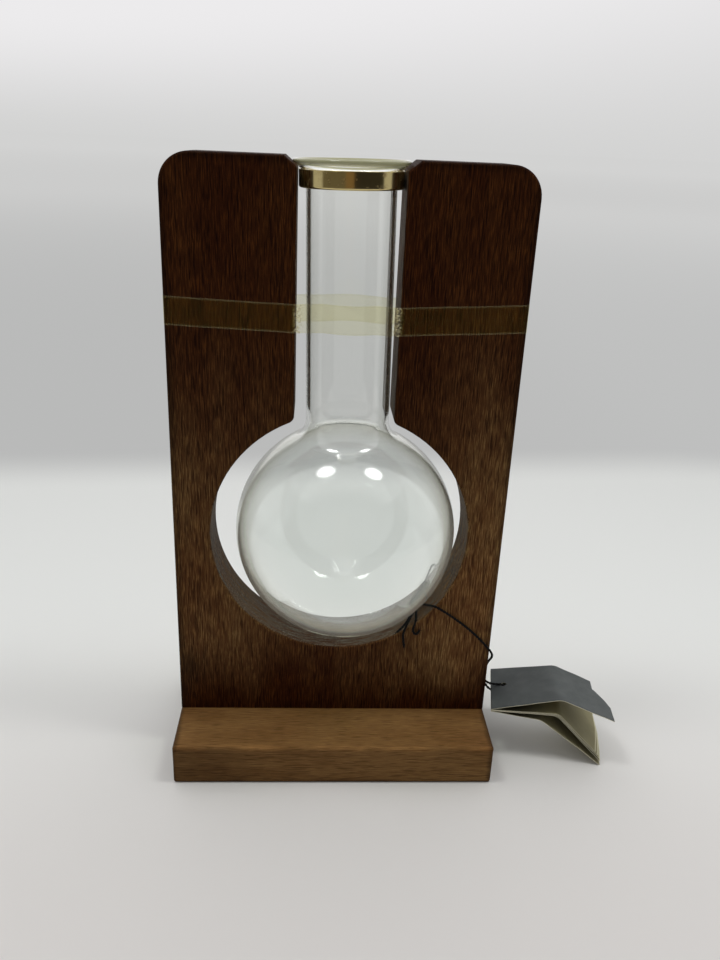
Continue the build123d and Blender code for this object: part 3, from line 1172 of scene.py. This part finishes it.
@dataclass
class TapeLoop:
    """The tape wound round board and neck: a film that follows a plan line, wavy along its edges."""

    width: float = 12.0 * MM
    film: float = 0.12 * MM
    gap: float = 0.06 * MM
    neck_gap: float = 0.26 * MM
    parting: float = 0.3 * MM
    height: float = 216.565 * MM
    left_rise: float = 1.8 * MM
    right_rise: float = 2.9 * MM
    neck_lift: float = 1.2 * MM
    edge_round: float = 1.2 * MM
    crease_reach: float = 1.3 * MM
    crease_inset: float = 0.9 * MM
    crease_lift: float = 0.55 * MM
    crease_wave: float = 5 * MM
    crease_gain: float = 2.2
    crease_glint_strength: Span = (0.35, 1.1)
    edge_wave: float = 30 * MM
    edge_sway: float = 0.12 * MM
    edge_from: float = 0.95
    across: int = 13
    bend_steps: int = 48
    reach_steps: int = 14
    front_steps: int = 60
    back_steps: int = 40
    side_steps: int = 10
    corner_steps: int = 8
    seeds: Tuple[int, int] = (11, 12)

    def build(self, flask: HungFlask, stand: Stand) -> None:
        """Builds and dresses the wound run and the run in front of the neck.

        Args:
            flask: The flask, for its neck.
            stand: The stand, for its slot.
        """
        finish = TapeFinish().build()
        half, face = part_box("upright_board")[1].x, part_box("upright_board")[1].y
        slot = stand.slot_half
        neck_x = (flask.lip_height - self.height) * math.tan(math.radians(flask.lean_deg))
        radius = flask.neck_radius + self.neck_gap
        back = self.bridge(slot, face + self.gap, neck_x, radius)
        wound = self.strip("tape_wound", self.wound_line(half, face, slot, back), slot, half, self.seeds[0])
        dress(wound, finish, "stand", "tape_film", "tape_wrap")
        front = self.bridge(slot - self.parting, face + self.gap, neck_x, radius) * np.array([1, -1])
        bridged = self.strip("tape_across_neck", front[::-1], slot, half, self.seeds[1])
        dress(bridged, finish, "flask", "tape_film", "tape_bridge")

    def bridge(self, reach: float, level: float, neck_x: float, radius: float) -> np.ndarray:
        """The line across the slot: straight to the neck, round it, and straight on, seen in plan at +Y.

        Args:
            reach: Half the span.
            level: The board's face.
            neck_x: The neck's centre.
            radius: The radius round the neck.

        Returns:
            Rows of x and y, from -X to +X.
        """
        bends = []
        for x, side in ((-reach, -1), (reach, 1)):
            away = math.hypot(x - neck_x, level)
            bends.append(math.atan2(level, x - neck_x) + side * math.acos(radius / away))
        bend = arc((neck_x, 0), radius, bends[0], bends[1], self.bend_steps)
        to_neck = straight((-reach, level), bend[0], self.reach_steps)
        return chain(to_neck, bend, straight(bend[-1], (reach, level), self.reach_steps))

    def wound_line(self, half: float, face: float, slot: float, back: np.ndarray) -> np.ndarray:
        """The line from the slot's left front corner round the board to its right one: a half and its mirror.

        Args:
            half: Half the board's width.
            face: Half its thickness.
            slot: Half the slot's width.
            back: The line across the slot at the back.

        Returns:
            Rows of x and y.
        """
        level = face + self.gap
        side = half + self.gap
        turn = self.edge_round + self.gap
        near = half - self.edge_round
        deep = face - self.edge_round
        quarter = math.pi / 2
        left = chain(
            straight((-slot, -level), (-near, -level), self.front_steps),
            arc((-near, -deep), turn, -quarter, -2 * quarter, self.corner_steps),
            straight((-side, -deep), (-side, deep), self.side_steps),
            arc((-near, deep), turn, 2 * quarter, quarter, self.corner_steps),
            straight((-near, level), (-slot, level), self.back_steps),
        )
        return chain(left, back, left[::-1] * np.array([-1, 1]))

    def strip(self, name: str, line: np.ndarray, slot: float, half: float, seed: int) -> Piece:
        """A film over a plan line: each point goes up by its share of the width, and out where it is creased.

        Args:
            name: The piece's name.
            line: Rows of x and y, with the outside on the left hand.
            slot: Half the slot's width, where the film is creased.
            half: Half the board's width, towards which the film rises.
            seed: Which waviness.

        Returns:
            The film, closed, with its edge values and the painted glint values of its creases.
        """
        along = unit(np.gradient(line, axis=0))
        out = np.column_stack([-along[:, 1], along[:, 0]])
        share = np.linspace(-1.0, 1.0, self.across)
        past = np.clip((np.abs(line[:, 0]) - slot) / (half - slot), 0.0, 1.0)
        rise = np.where(line[:, 0] < 0, self.left_rise, self.right_rise) * past
        rise += self.neck_lift * np.clip(1 - np.abs(line[:, 0]) / slot, 0.0, 0.5) * 2 * (line[:, 1] < 0)
        place, spot = np.meshgrid(np.arange(len(line)), share, indexing="ij")
        x, y = line[place, 0], line[place, 1]
        near = np.exp(-(((np.abs(x) - slot + self.crease_inset) / self.crease_reach) ** 2)) * (y < 0)
        flat = np.column_stack([x.ravel(), y.ravel(), spot.ravel() * self.width])
        waves = np.abs(ripple(flat, seed, self.crease_wave)).reshape(x.shape)
        lift = near * self.crease_lift * waves * self.crease_gain
        edge = ripple(flat[:, :2], seed + 50, self.edge_wave).reshape(x.shape) * self.edge_sway
        z = self.height + rise[:, None] + spot * self.width / 2 + edge
        layers = []
        for offset in (0.0, self.film):
            proud = lift + offset
            layers.append(np.stack([x + out[place, 0] * proud, y + out[place, 1] * proud, z], -1))
        ring = np.concatenate([layers[0], layers[1][:, ::-1]], 1)
        rows, columns = ring.shape[:2]
        faces = [quads(rows, columns, False, True)[:, ::-1]]
        ends = np.arange(self.across)
        for row, flip in ((0, 1), (rows - 1, -1)):
            first, second = row * columns + ends, row * columns + columns - 1 - ends
            cap = np.column_stack([first[:-1], first[1:], second[1:], second[:-1]])
            faces.append(cap[:, ::flip])
        film = mesh_object(name, ring.reshape(-1, 3), faces)
        rim = np.clip((np.abs(spot) - self.edge_from) / (1 - self.edge_from), 0.0, 1.0)
        # The strength of the painted glints that whiten the creases.
        creased = np.clip(near * (self.crease_glint_strength[0] + self.crease_glint_strength[1] * waves), 0.0, 1.0)
        for title, value in (("edge", rim), ("crease_glint", creased)):
            both = np.concatenate([value, value[:, ::-1]], 1)
            film.data.attributes.new(title, "FLOAT", "POINT").data.foreach_set("value", both.ravel())
        return film


@dataclass(frozen=True)
class Page:
    """One sheet of the tag: its height at the spine, and (outward, upward) points along its two edges."""

    height_mm: float
    near_mm: Pairs
    far_mm: Pairs
    seed: int
    thickness: float = 0.2 * MM
    ends: Pairs = ((0.0, 1.0), (1.0, 1.0))


def folded_pages() -> Dict[str, List[Page]]:
    """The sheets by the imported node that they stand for.

    Returns:
        The cover, the two upper leaves as two fanned pages each, and the lowest leaf.
    """
    inner = ((0.0, 1.0), (0.25, 1.018), (0.6, 1.03), (1.0, 1.0))
    outer = ((0.0, 0.985), (0.38, 0.982), (0.53, 0.945), (0.74, 0.862), (0.745, 0.85), (1.0, 0.85))
    cover = Page(26.2, ((33.5, 36.4), (61.1, 27.1)), ((32.6, 33.0), (61.4, 22.4)), 3, 0.26 * MM, outer)
    fan = [
        Page(25.95, ((33.1, 28.0), (53.6, 8.1)), ((33.1, 27.9), (56.1, 7.1)), 4, ends=inner),
        Page(25.75, ((32.9, 27.6), (46, 14.5), (55.1, 6.2)), ((32.9, 27.5), (56.3, 6.2)), 4, ends=inner),
        Page(25.55, ((32.7, 27.2), (46, 14.0), (56.1, 4.4)), ((32.7, 27.1), (56.5, 5.1)), 4, ends=inner),
        Page(25.35, ((32.4, 26.8), (46, 13.3), (56.6, 2.6)), ((32.4, 26.7), (56.7, 4.0)), 4, ends=inner),
    ]
    near = ((24.9, 23.1), (38.4, 13.9), (56.7, 0.45))
    far = ((26.5, 23.7), (39.0, 14.6), (56.7, 0.6))
    bottom = Page(25.1, near, far, 8, 0.3 * MM)
    return {
        "tag_cover": [cover],
        "tag_leaf_top": fan[:2],
        "tag_leaf_middle": fan[2:],
        "tag_leaf_bottom": [bottom],
    }


@dataclass
class HangTag:
    """The small folded tag beside the board; its faces are bare."""

    spine: Vec3 = (78.3 * MM, -19.5 * MM, 0.0)
    turn_deg: float = 10.5
    width: float = 35.0 * MM
    hole: Tuple[float, float] = (6.22 * MM, 19.95 * MM)
    hole_radius: float = 1.5 * MM
    hole_slack_share: float = 0.1
    snap_share: float = 0.62
    cells: Tuple[int, int] = (150, 84)
    end_rows: int = 2
    crease_blur: int = 5
    cockle_wave: float = 22 * MM
    cockle_height: float = 0.25 * MM
    cockle_from: float = 20 * MM
    cover_shade_span: Span = (108 * MM, 114 * MM)
    pages: Dict[str, List[Page]] = field(default_factory=folded_pages)

    def build(self) -> List[Piece]:
        """Builds and dresses the sheets.

        Returns:
            The cover and the leaves.
        """
        # Painted light and shade: the slate colours are raised for the cover's lit slope past its fold and
        # darkened before it; the page faces are a darkened cream, painted shade between the sheets, darker
        # still towards the spine.
        grey, worn = (0.078, 0.086, 0.085), (0.115, 0.123, 0.121)
        slate = PaperFinish("tag_slate", grey, worn, 0.74, self.cover_shade_span).build()
        shaded_cream = PaperFinish("tag_cream", (0.245, 0.22, 0.12), (0.29, 0.265, 0.155), 0.2).build()
        rim = PaperFinish("tag_rim", (0.60, 0.57, 0.42), (0.66, 0.63, 0.48)).build()
        sheets = []
        for node, pages in self.pages.items():
            cover = node == "tag_cover"
            sheet = self.sheets(node.replace("tag_", "tag_folded_"), pages)
            sheet.data.materials.append(slate if cover else shaded_cream)
            sheet.data.materials.append(shaded_cream)
            dress(sheet, rim, "stand", "tag_slate" if cover else "tag_cream", node)
            sheets.append(sheet)
        return sheets

    def edge_line(self, height_mm: float, points_mm: Pairs) -> np.ndarray:
        """An edge as even steps along its straight runs, with the creases rounded by a running mean.

        Args:
            height_mm: The edge's height at the spine.
            points_mm: Its creases and its end, as (outward, upward).

        Returns:
            Rows of outward and upward, one for each row of cells.
        """
        corners = np.array([(0.0, height_mm), *points_mm]) * MM
        run = distances(corners)
        even = np.linspace(0.0, run[-1], self.cells[0])
        line = np.column_stack([np.interp(even, run, corners[:, axis]) for axis in (0, 1)])
        blur = self.crease_blur
        padded = np.vstack([2 * line[0] - line[blur:0:-1], line, 2 * line[-1] - line[-2 : -blur - 2 : -1]])
        window = np.ones(2 * blur + 1) / (2 * blur + 1)
        return np.column_stack([np.convolve(padded[:, axis], window, "valid") for axis in (0, 1)])

    def page_grid(self, page: Page) -> Shape:
        """A sheet between its two edges: a straight line from near to far at each share of the length.

        Args:
            page: The sheet.

        Returns:
            Its points and faces, with the string's hole left out.
        """
        rows, columns = self.cells
        edges = [self.edge_line(page.height_mm, points) for points in (page.near_mm, page.far_mm)]
        side = np.linspace(0.0, 1.0, columns)
        reach = np.interp(side, *np.array(page.ends).T)
        spot = np.linspace(0.0, 1.0, rows)[:, None] * reach * (rows - 1)
        below = np.minimum(spot.astype(int), rows - 2)
        part = (spot - below)[..., None]
        near, far = [edge[below] * (1 - part) + edge[below + 1] * part for edge in edges]
        blend = side[None, :, None]
        outward, upward = np.moveaxis(near * (1 - blend) + far * blend, -1, 0)
        along = np.broadcast_to(side * self.width, outward.shape)
        flat = np.column_stack([outward.ravel(), along.ravel()])
        cockle = ripple(flat, page.seed, self.cockle_wave).reshape(outward.shape) * self.cockle_height
        upward = upward + cockle * np.clip(outward / self.cockle_from, 0.0, 1.0)
        off = flat - np.array(self.hole)
        distance = np.linalg.norm(off, axis=1)
        spacing = self.width / (columns - 1)
        snapped = np.abs(distance - self.hole_radius) < self.snap_share * spacing
        flat[snapped] = self.hole + off[snapped] / distance[snapped, None] * self.hole_radius
        faces = quads(rows, columns)
        middle = flat[faces].mean(1) - np.array(self.hole)
        clear = np.linalg.norm(middle, axis=1) > self.hole_radius - self.hole_slack_share * spacing
        return self.placed(np.column_stack([flat, upward.ravel()])), [faces[clear][:, ::-1]]

    def placed(self, points: np.ndarray) -> np.ndarray:
        """Points turned about Z and moved to where the tag lies.

        Args:
            points: Rows of outward, along the spine and upward.

        Returns:
            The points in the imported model's frame.
        """
        turn = math.radians(self.turn_deg)
        outward, along, upward = points.T
        x = outward * math.cos(turn) + along * math.sin(turn)
        y = along * math.cos(turn) - outward * math.sin(turn)
        return np.column_stack([x, y, upward]) + np.array(self.spine)

    def sheets(self, name: str, pages: List[Page]) -> Piece:
        """One piece of one or more sheets, given their thickness below the drawn face.

        Args:
            name: The piece's name.
            pages: Its sheets.

        Returns:
            The piece.
        """
        made = mesh_object(name, *joined([self.page_grid(page) for page in pages]))
        rows, columns = self.cells
        # The end values place the painted highlight on the last rows of fanned sheets.
        end = np.clip(np.arange(rows) - rows + 1 + self.end_rows, 0.0, 1.0) * (len(pages) > 1)
        ends = np.tile(np.repeat(end, columns), len(pages))
        made.data.attributes.new("end", "FLOAT", "POINT").data.foreach_set("value", ends)
        wall = made.modifiers.new("paper", "SOLIDIFY")
        wall.thickness = pages[0].thickness
        wall.offset = -1.0
        wall.material_offset = 1
        wall.material_offset_rim = 2
        return made


@dataclass
class TagString:
    """The tag's black string round the board's right leg, with its knot and the knot's frayed tails."""

    string_diameter: float = 1.1 * MM
    string_length: float = 0.2
    string_sides: int = 10
    string_steps: int = 14
    tail_steps: int = 10
    twist_pitch: float = 3.4 * MM
    ply_offset_share: float = 0.25
    ply_radius_share: float = 0.35
    knot_place: Vec3 = (39.9 * MM, -0.3 * MM, 74.9 * MM)
    knot_scale: float = 0.4 * MM
    knot_string_share: float = 0.9
    knot_steps: int = 121
    fray_seed: int = 21
    fray_count: int = 7
    fray_points: int = 8
    fray_sides: int = 5
    fray_reach: Span = (1.2 * MM, 2.8 * MM)
    fray_ways: Vec3 = (1.0, 0.15, 1.0)
    fray_spread: float = 0.35
    fray_scatter: float = 0.1 * MM
    fray_start: float = 0.6 * MM
    fray_radius: Span = (0.11 * MM, 0.05 * MM)
    route_mm: Tuple[Vec3, ...] = (
        (40.6, -1.0, 75.4), (42.4, -4.4, 77.0), (44.2, -8.4, 78.8), (46.2, -12.6, 81.0),
        (50.4, -13.8, 79.0), (55.7, -13.1, 75.0), (61.8, -13.0, 70.4), (67.9, -13.0, 65.0),
        (73.2, -13.2, 59.4), (77.0, -13.2, 54.8), (78.0, -10.4, 50.6), (77.2, -6.4, 45.6),
        (76.8, -3.6, 39.8), (76.8, -1.6, 34.2), (77.8, -0.9, 30.0), (81.2, -1.2, 28.2),
        (84.6, -1.05, 27.9), (88.1, -0.97, 27.6), (88.1, -0.9, 24.3), (84.6, -0.6, 23.8),
        (81.4, 0.8, 23.4), (79.2, 3.8, 25.2), (78.1, 7.6, 28.8), (77.8, 11.0, 33.4),
        (76.8, 13.8, 38.6), (73.8, 14.0, 44.6), (70.2, 13.4, 51.4), (66.4, 13.1, 58.6),
        (62.8, 13.1, 66.0), (59.2, 13.4, 73.6), (56.0, 14.2, 81.2), (53.0, 14.4, 87.6),
        (49.6, 11.0, 89.6), (47.6, 7.4, 86.6), (45.4, 4.4, 82.6), (42.6, 2.0, 78.8),
        (40.6, 0.6, 75.8),
    )
    tails_mm: Tuple[Tuple[Vec3, ...], ...] = (
        (
            (39.9, -0.3, 74.9), (39.0, -5.0, 73.9), (38.5, -10.0, 73.6), (37.9, -13.2, 71.6),
            (37.0, -13.4, 69.2), (36.9, -13.1, 66.8), (37.9, -13.0, 65.2), (39.3, -13.0, 65.4),
            (40.1, -13.0, 67.2),
        ),
        (
            (39.9, -0.3, 74.9), (37.4, -5.2, 72.2), (35.0, -10.2, 70.8), (33.0, -13.3, 68.4),
            (32.2, -13.3, 64.8), (32.7, -13.0, 61.2), (33.2, -13.1, 58.1),
        ),
        (
            (38.2, -4.0, 73.0), (35.4, -9.4, 72.6), (33.2, -12.8, 71.0), (31.2, -13.3, 68.6),
            (29.2, -13.3, 66.4),
        ),
    )

    def build(self, sheets: List[Piece]) -> None:
        """Builds and dresses the knot and the string.

        Args:
            sheets: The tag's sheets, which hang on the string.
        """
        thread = StringFinish().build()
        knot = mesh_object("string_knot_tied", *self.knot_shape(), ROUNDED_DEG)
        dress(knot, thread, "stand", "string_cord", "string_knot")
        line = spline_points("string_line", np.array(self.route_mm) * MM, self.string_steps)
        string = mesh_object("tag_string_twisted", *self.twisted(line), ROUNDED_DEG)
        dress(string, thread, "stand", "string_cord", "tag_string")

    def twisted(self, line: np.ndarray) -> Shape:
        """Two plies laid round each other: each is the line moved out by a share, turning once a pitch.

        Args:
            line: The string's centre points.

        Returns:
            The points and faces of both plies.
        """
        across, over = square_to(line)
        turn = distances(line) / self.twist_pitch * 2 * math.pi
        radius = np.full(len(line), self.string_diameter * self.ply_radius_share)
        plies = []
        for phase in (0.0, math.pi):
            way = np.cos(turn + phase)[:, None] * across + np.sin(turn + phase)[:, None] * over
            ply = line + way * self.string_diameter * self.ply_offset_share
            plies.append(tube(ply, radius, self.string_sides))
        return joined(plies)

    def knot_shape(self) -> Shape:
        """The knot as a trefoil of string, and its tails with their frayed ends.

        Returns:
            The points and faces.
        """
        turn = np.linspace(0.0, 2 * math.pi, self.knot_steps)
        loop = np.column_stack(
            [np.sin(turn) + 2 * np.sin(2 * turn), np.cos(turn) - 2 * np.cos(2 * turn), -np.sin(3 * turn)]
        )
        thick = np.full(len(loop), self.string_diameter / 2 * self.knot_string_share)
        centre = np.array(self.knot_place)
        parts = [tube(loop * self.knot_scale + centre, thick, self.string_sides)]
        random = np.random.default_rng(self.fray_seed)
        for tail in self.tails_mm:
            line = spline_points("tail_line", np.array(tail) * MM, self.tail_steps)
            parts.append(self.twisted(line))
            parts += self.frayed(line, random)
        return joined(parts)

    def frayed(self, line: np.ndarray, random: np.random.Generator) -> List[Shape]:
        """Loose fibres that go on from a tail's end and spread, each a bent tapering thread.

        Args:
            line: The tail's points.
            random: Where the spread comes from.

        Returns:
            The fibres' shapes.
        """
        onward = line[-1] - line[-4]
        onward /= np.linalg.norm(onward)
        share = np.linspace(0.0, 1.0, self.fray_points)[:, None]
        fibres = []
        for _ in range(self.fray_count):
            away = random.normal(size=3) * np.array(self.fray_ways)
            reach = random.uniform(*self.fray_reach)
            start = line[-1] - onward * self.fray_start + away * self.fray_scatter
            fibre = start + onward * reach * share + away * reach * self.fray_spread * share**2
            fibres.append(tube(fibre, np.linspace(*self.fray_radius, self.fray_points), self.fray_sides))
        return fibres


@dataclass(frozen=True)
class Lamp:
    """A soft square lamp that faces down: where it hangs, its two sides and its power."""

    name: str
    place: Vec3
    size: Tuple[float, float]
    power: float


@dataclass(frozen=True)
class Card:
    """An upright card round the object, which only mirrors show: the bearings of its sides and its glow."""

    name: str
    bearings_deg: Tuple[float, float]
    glow: Colour


@dataclass
class Studio:
    """The camera, the pale floor, the lamps overhead, the cards and the pale surroundings."""

    camera_place: Vec3 = (-13.87 * MM, -360.06 * MM, 285.79 * MM)
    focal_px: float = 836.88
    pitch: float = 0.38369
    yaw: float = 0.06303
    roll: float = 0.04473
    frame_px: Tuple[int, int] = (720, 960)
    sensor_mm: float = 36.0
    floor_reach: float = 60.0
    backdrop_low: Colour = (0.645, 0.645, 0.64)
    backdrop_high: Colour = (0.84, 0.83, 0.84)
    paper_front: Colour = (0.765, 0.74, 0.72)
    paper_back: Colour = (0.85, 0.86, 0.84)
    haze_near: Colour = (0.487, 0.49, 0.487)
    haze_far: Colour = (0.60, 0.60, 0.595)
    sky: float = 0.86
    front_sky: float = 0.30
    sky_span: Span = (-0.7, 0.7)
    rise_span: Span = (-0.02, 0.14)
    mirror_span: Span = (-0.7, -0.25)
    mirror_tones: Span = (0.1, 1.35)
    through_tone: float = 0.8
    paper_half: float = 0.3
    paper_turn: Span = (-0.15, 0.15)
    paper_edge: Span = (0.33, 0.43)
    paper_slant: float = 0.09
    haze_span: Span = (0.5, 4.5)
    backdrop_span: Span = (3.0, 16.0)
    right_glow: float = 0.07
    right_span: Span = (0.0, 0.5)
    right_fade: Span = (1.5, 6.0)
    lamp_fade: Span = (0.16, 0.5)
    card_distance: float = 1.2
    card_height: float = 1.1
    cards: Tuple[Card, ...] = (
        Card("left_card", (-104.0, -67.0), (0.5, 0.5, 0.5)),
        Card("dim_card", (-67.0, -15.0), (0.14, 0.125, 0.095)),
        Card("warm_card", (-15.0, 3.0), (0.21, 0.14, 0.075)),
        Card("dark_card", (3.0, 70.0), (0.03, 0.026, 0.022)),
        Card("right_card", (70.0, 97.0), (0.5, 0.5, 0.5)),
    )
    lamps: Tuple[Lamp, ...] = (
        Lamp("left_lamp", (-0.29, -0.07, 0.95), (0.34, 0.24), 4.6),
        Lamp("right_lamp", (0.35, -0.08, 0.93), (0.34, 0.24), 4.6),
    )

    def build(self) -> None:
        """Builds the camera, the lamps, the surroundings and the floor."""
        bpy.context.scene.view_settings.view_transform = "Standard"
        self.camera()
        for lamp in self.lamps:
            self.hang(lamp)
        for card in self.cards:
            self.stand_up(card)
        self.surroundings()
        self.floor()

    def camera(self) -> None:
        """The camera: its turn is roll after pitch after yaw, from axes that look along +Y."""
        turned = Matrix.Rotation(-self.yaw, 3, "Z") @ Matrix.Rotation(math.pi / 2 - self.pitch, 3, "X")
        turned = turned @ Matrix.Rotation(self.roll, 3, "Z")
        data = bpy.data.cameras.new("photo_camera")
        data.sensor_width = self.sensor_mm
        data.lens = self.focal_px * self.sensor_mm / max(self.frame_px)
        data.clip_start = 10 * MM
        camera = bpy.data.objects.new("photo_camera", data)
        camera.matrix_world = Matrix.Translation(self.camera_place) @ turned.to_4x4()
        bpy.context.scene.collection.objects.link(camera)
        bpy.context.scene.camera = camera

    def hang(self, lamp: Lamp) -> None:
        """Hangs a lamp, which faces straight down and fades towards its rim.

        Args:
            lamp: The lamp.
        """
        data = bpy.data.lights.new(lamp.name, "AREA")
        data.shape = "RECTANGLE"
        data.size, data.size_y = lamp.size
        data.energy = lamp.power
        data.use_nodes = True
        graph = Graph(data.node_tree)
        place = graph.add("ShaderNodeNewGeometry", {}).outputs["Parametric"]
        place = graph.vector("SUBTRACT", place, (0.5, 0.5, 0.0))
        soft = graph.step(graph.length(place), *self.lamp_fade, 1.0, 0.0)
        glow = graph.shader(Shader.EMISSION, {"Color": (1.0, 1.0, 1.0), "Strength": soft})
        graph.put(graph.add("ShaderNodeOutputLight", {}).inputs["Surface"], glow)
        light = bpy.data.objects.new(lamp.name, data)
        light.location = lamp.place
        bpy.context.scene.collection.objects.link(light)

    def stand_up(self, card: Card) -> None:
        """Stands a bent card on the floor, facing the object, out of the camera's sight.

        Args:
            card: The card.
        """
        graph, material = Graph.of_material(card.name)
        graph.close(graph.shader(Shader.EMISSION, {"Color": card.glow, "Strength": 1.0}))
        first, last = np.radians(card.bearings_deg) - math.pi / 2
        feet = arc((0.0, 0.0), self.card_distance, first, last, 12)
        rows = [np.column_stack([feet, np.full(len(feet), height)]) for height in (0.0, self.card_height)]
        panel = mesh_object(card.name, np.vstack(rows), [quads(2, len(feet))])
        panel.data.materials.append(material)
        for sight in ("visible_camera", "visible_diffuse", "visible_shadow", "visible_transmission"):
            setattr(panel, sight, False)

    def surroundings(self) -> None:
        """The world: a pale backdrop to see and to mirror, darker in front, and a soft light from behind."""
        world = bpy.data.worlds.new("light_tent")
        world.use_nodes = True
        bpy.context.scene.world = world
        graph = Graph(world.node_tree)
        way = graph.add("ShaderNodeTexCoord", {}).outputs["Generated"]
        across, deep, up = graph.axes(way)
        rise = graph.times(up, graph.less(1.0, across))
        pale = graph.mix(graph.step(rise, *self.rise_span), self.backdrop_low, self.backdrop_high)
        seen, mirror, behind = [graph.ray(kind) for kind in ("Camera", "Glossy", "Transmission")]
        mirrored = graph.times(graph.step(deep, *self.mirror_span, *self.mirror_tones), mirror)
        through = graph.times(behind, self.through_tone)
        dimmed = graph.vector("MULTIPLY", pale, graph.most(seen, graph.most(through, mirrored)))
        shown = graph.most(graph.most(seen, mirror), behind)
        light = graph.step(deep, *self.sky_span, self.front_sky, self.sky)
        soft = graph.shader(Shader.BACKGROUND, {0: (1.0, 1.0, 1.0), 1: light})
        mixed = graph.blend(shown, soft, graph.shader(Shader.BACKGROUND, {0: dimmed, 1: 1.0}))
        graph.put(graph.add("ShaderNodeOutputWorld", {}).inputs["Surface"], mixed)

    def floor(self) -> None:
        """The floor: lit paper near the object, which goes over into the backdrop's even tone further off."""
        graph, material = Graph.of_material("pale_floor")
        place = graph.place()
        across, deep, _ = graph.axes(place)
        spread = graph.add("ShaderNodeVectorMath", {0: place}, operation="ABSOLUTE").outputs[0]
        spread = graph.vector("SUBTRACT", spread, (self.paper_half, 0, 0))
        spread = graph.vector("MAXIMUM", spread, (0, 0, 0))
        far = graph.length(spread)
        # Painted light and shade: the floor paper is darker in front of the object and lighter behind it.
        tone = graph.mix(graph.step(deep, *self.paper_turn), self.paper_front, self.paper_back)
        inputs = {"Base Color": tone, "Roughness": 0.6, "Specular IOR Level": 0.1}
        paper = graph.shader(Shader.PRINCIPLED, inputs)
        haze = graph.mix(graph.step(far, *self.haze_span), self.haze_near, self.haze_far)
        haze = graph.mix(graph.step(far, *self.backdrop_span), haze, self.backdrop_low)
        right = graph.step(across, *self.right_span, 0.0, self.right_glow)
        glow = graph.plus(graph.times(right, graph.step(far, *self.right_fade, 1.0, 0.0)), 1.0)
        backdrop = graph.shader(Shader.EMISSION, {"Color": haze, "Strength": glow})
        slanted = graph.less(far, graph.times(across, self.paper_slant))
        graph.close(graph.blend(graph.step(slanted, *self.paper_edge), paper, backdrop))
        reach = self.floor_reach
        corners = np.array([(-reach, -reach, 0), (reach, -reach, 0), (reach, reach, 0), (-reach, reach, 0)])
        floor = mesh_object("pale_floor", corners, [np.array([[0, 1, 2, 3]])])
        floor.data.materials.append(material)


def main() -> None:
    """Builds the object's pieces in order, then the studio round them."""
    logging.basicConfig(level=logging.INFO, format="%(name)s %(message)s")
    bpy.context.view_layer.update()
    stand = Stand()
    flask = HungFlask()
    stand.build()
    flask.build()
    TapeLoop().build(flask, stand)
    TagString().build(HangTag().build())
    Studio().build()


if __name__ == "__main__":
    main()
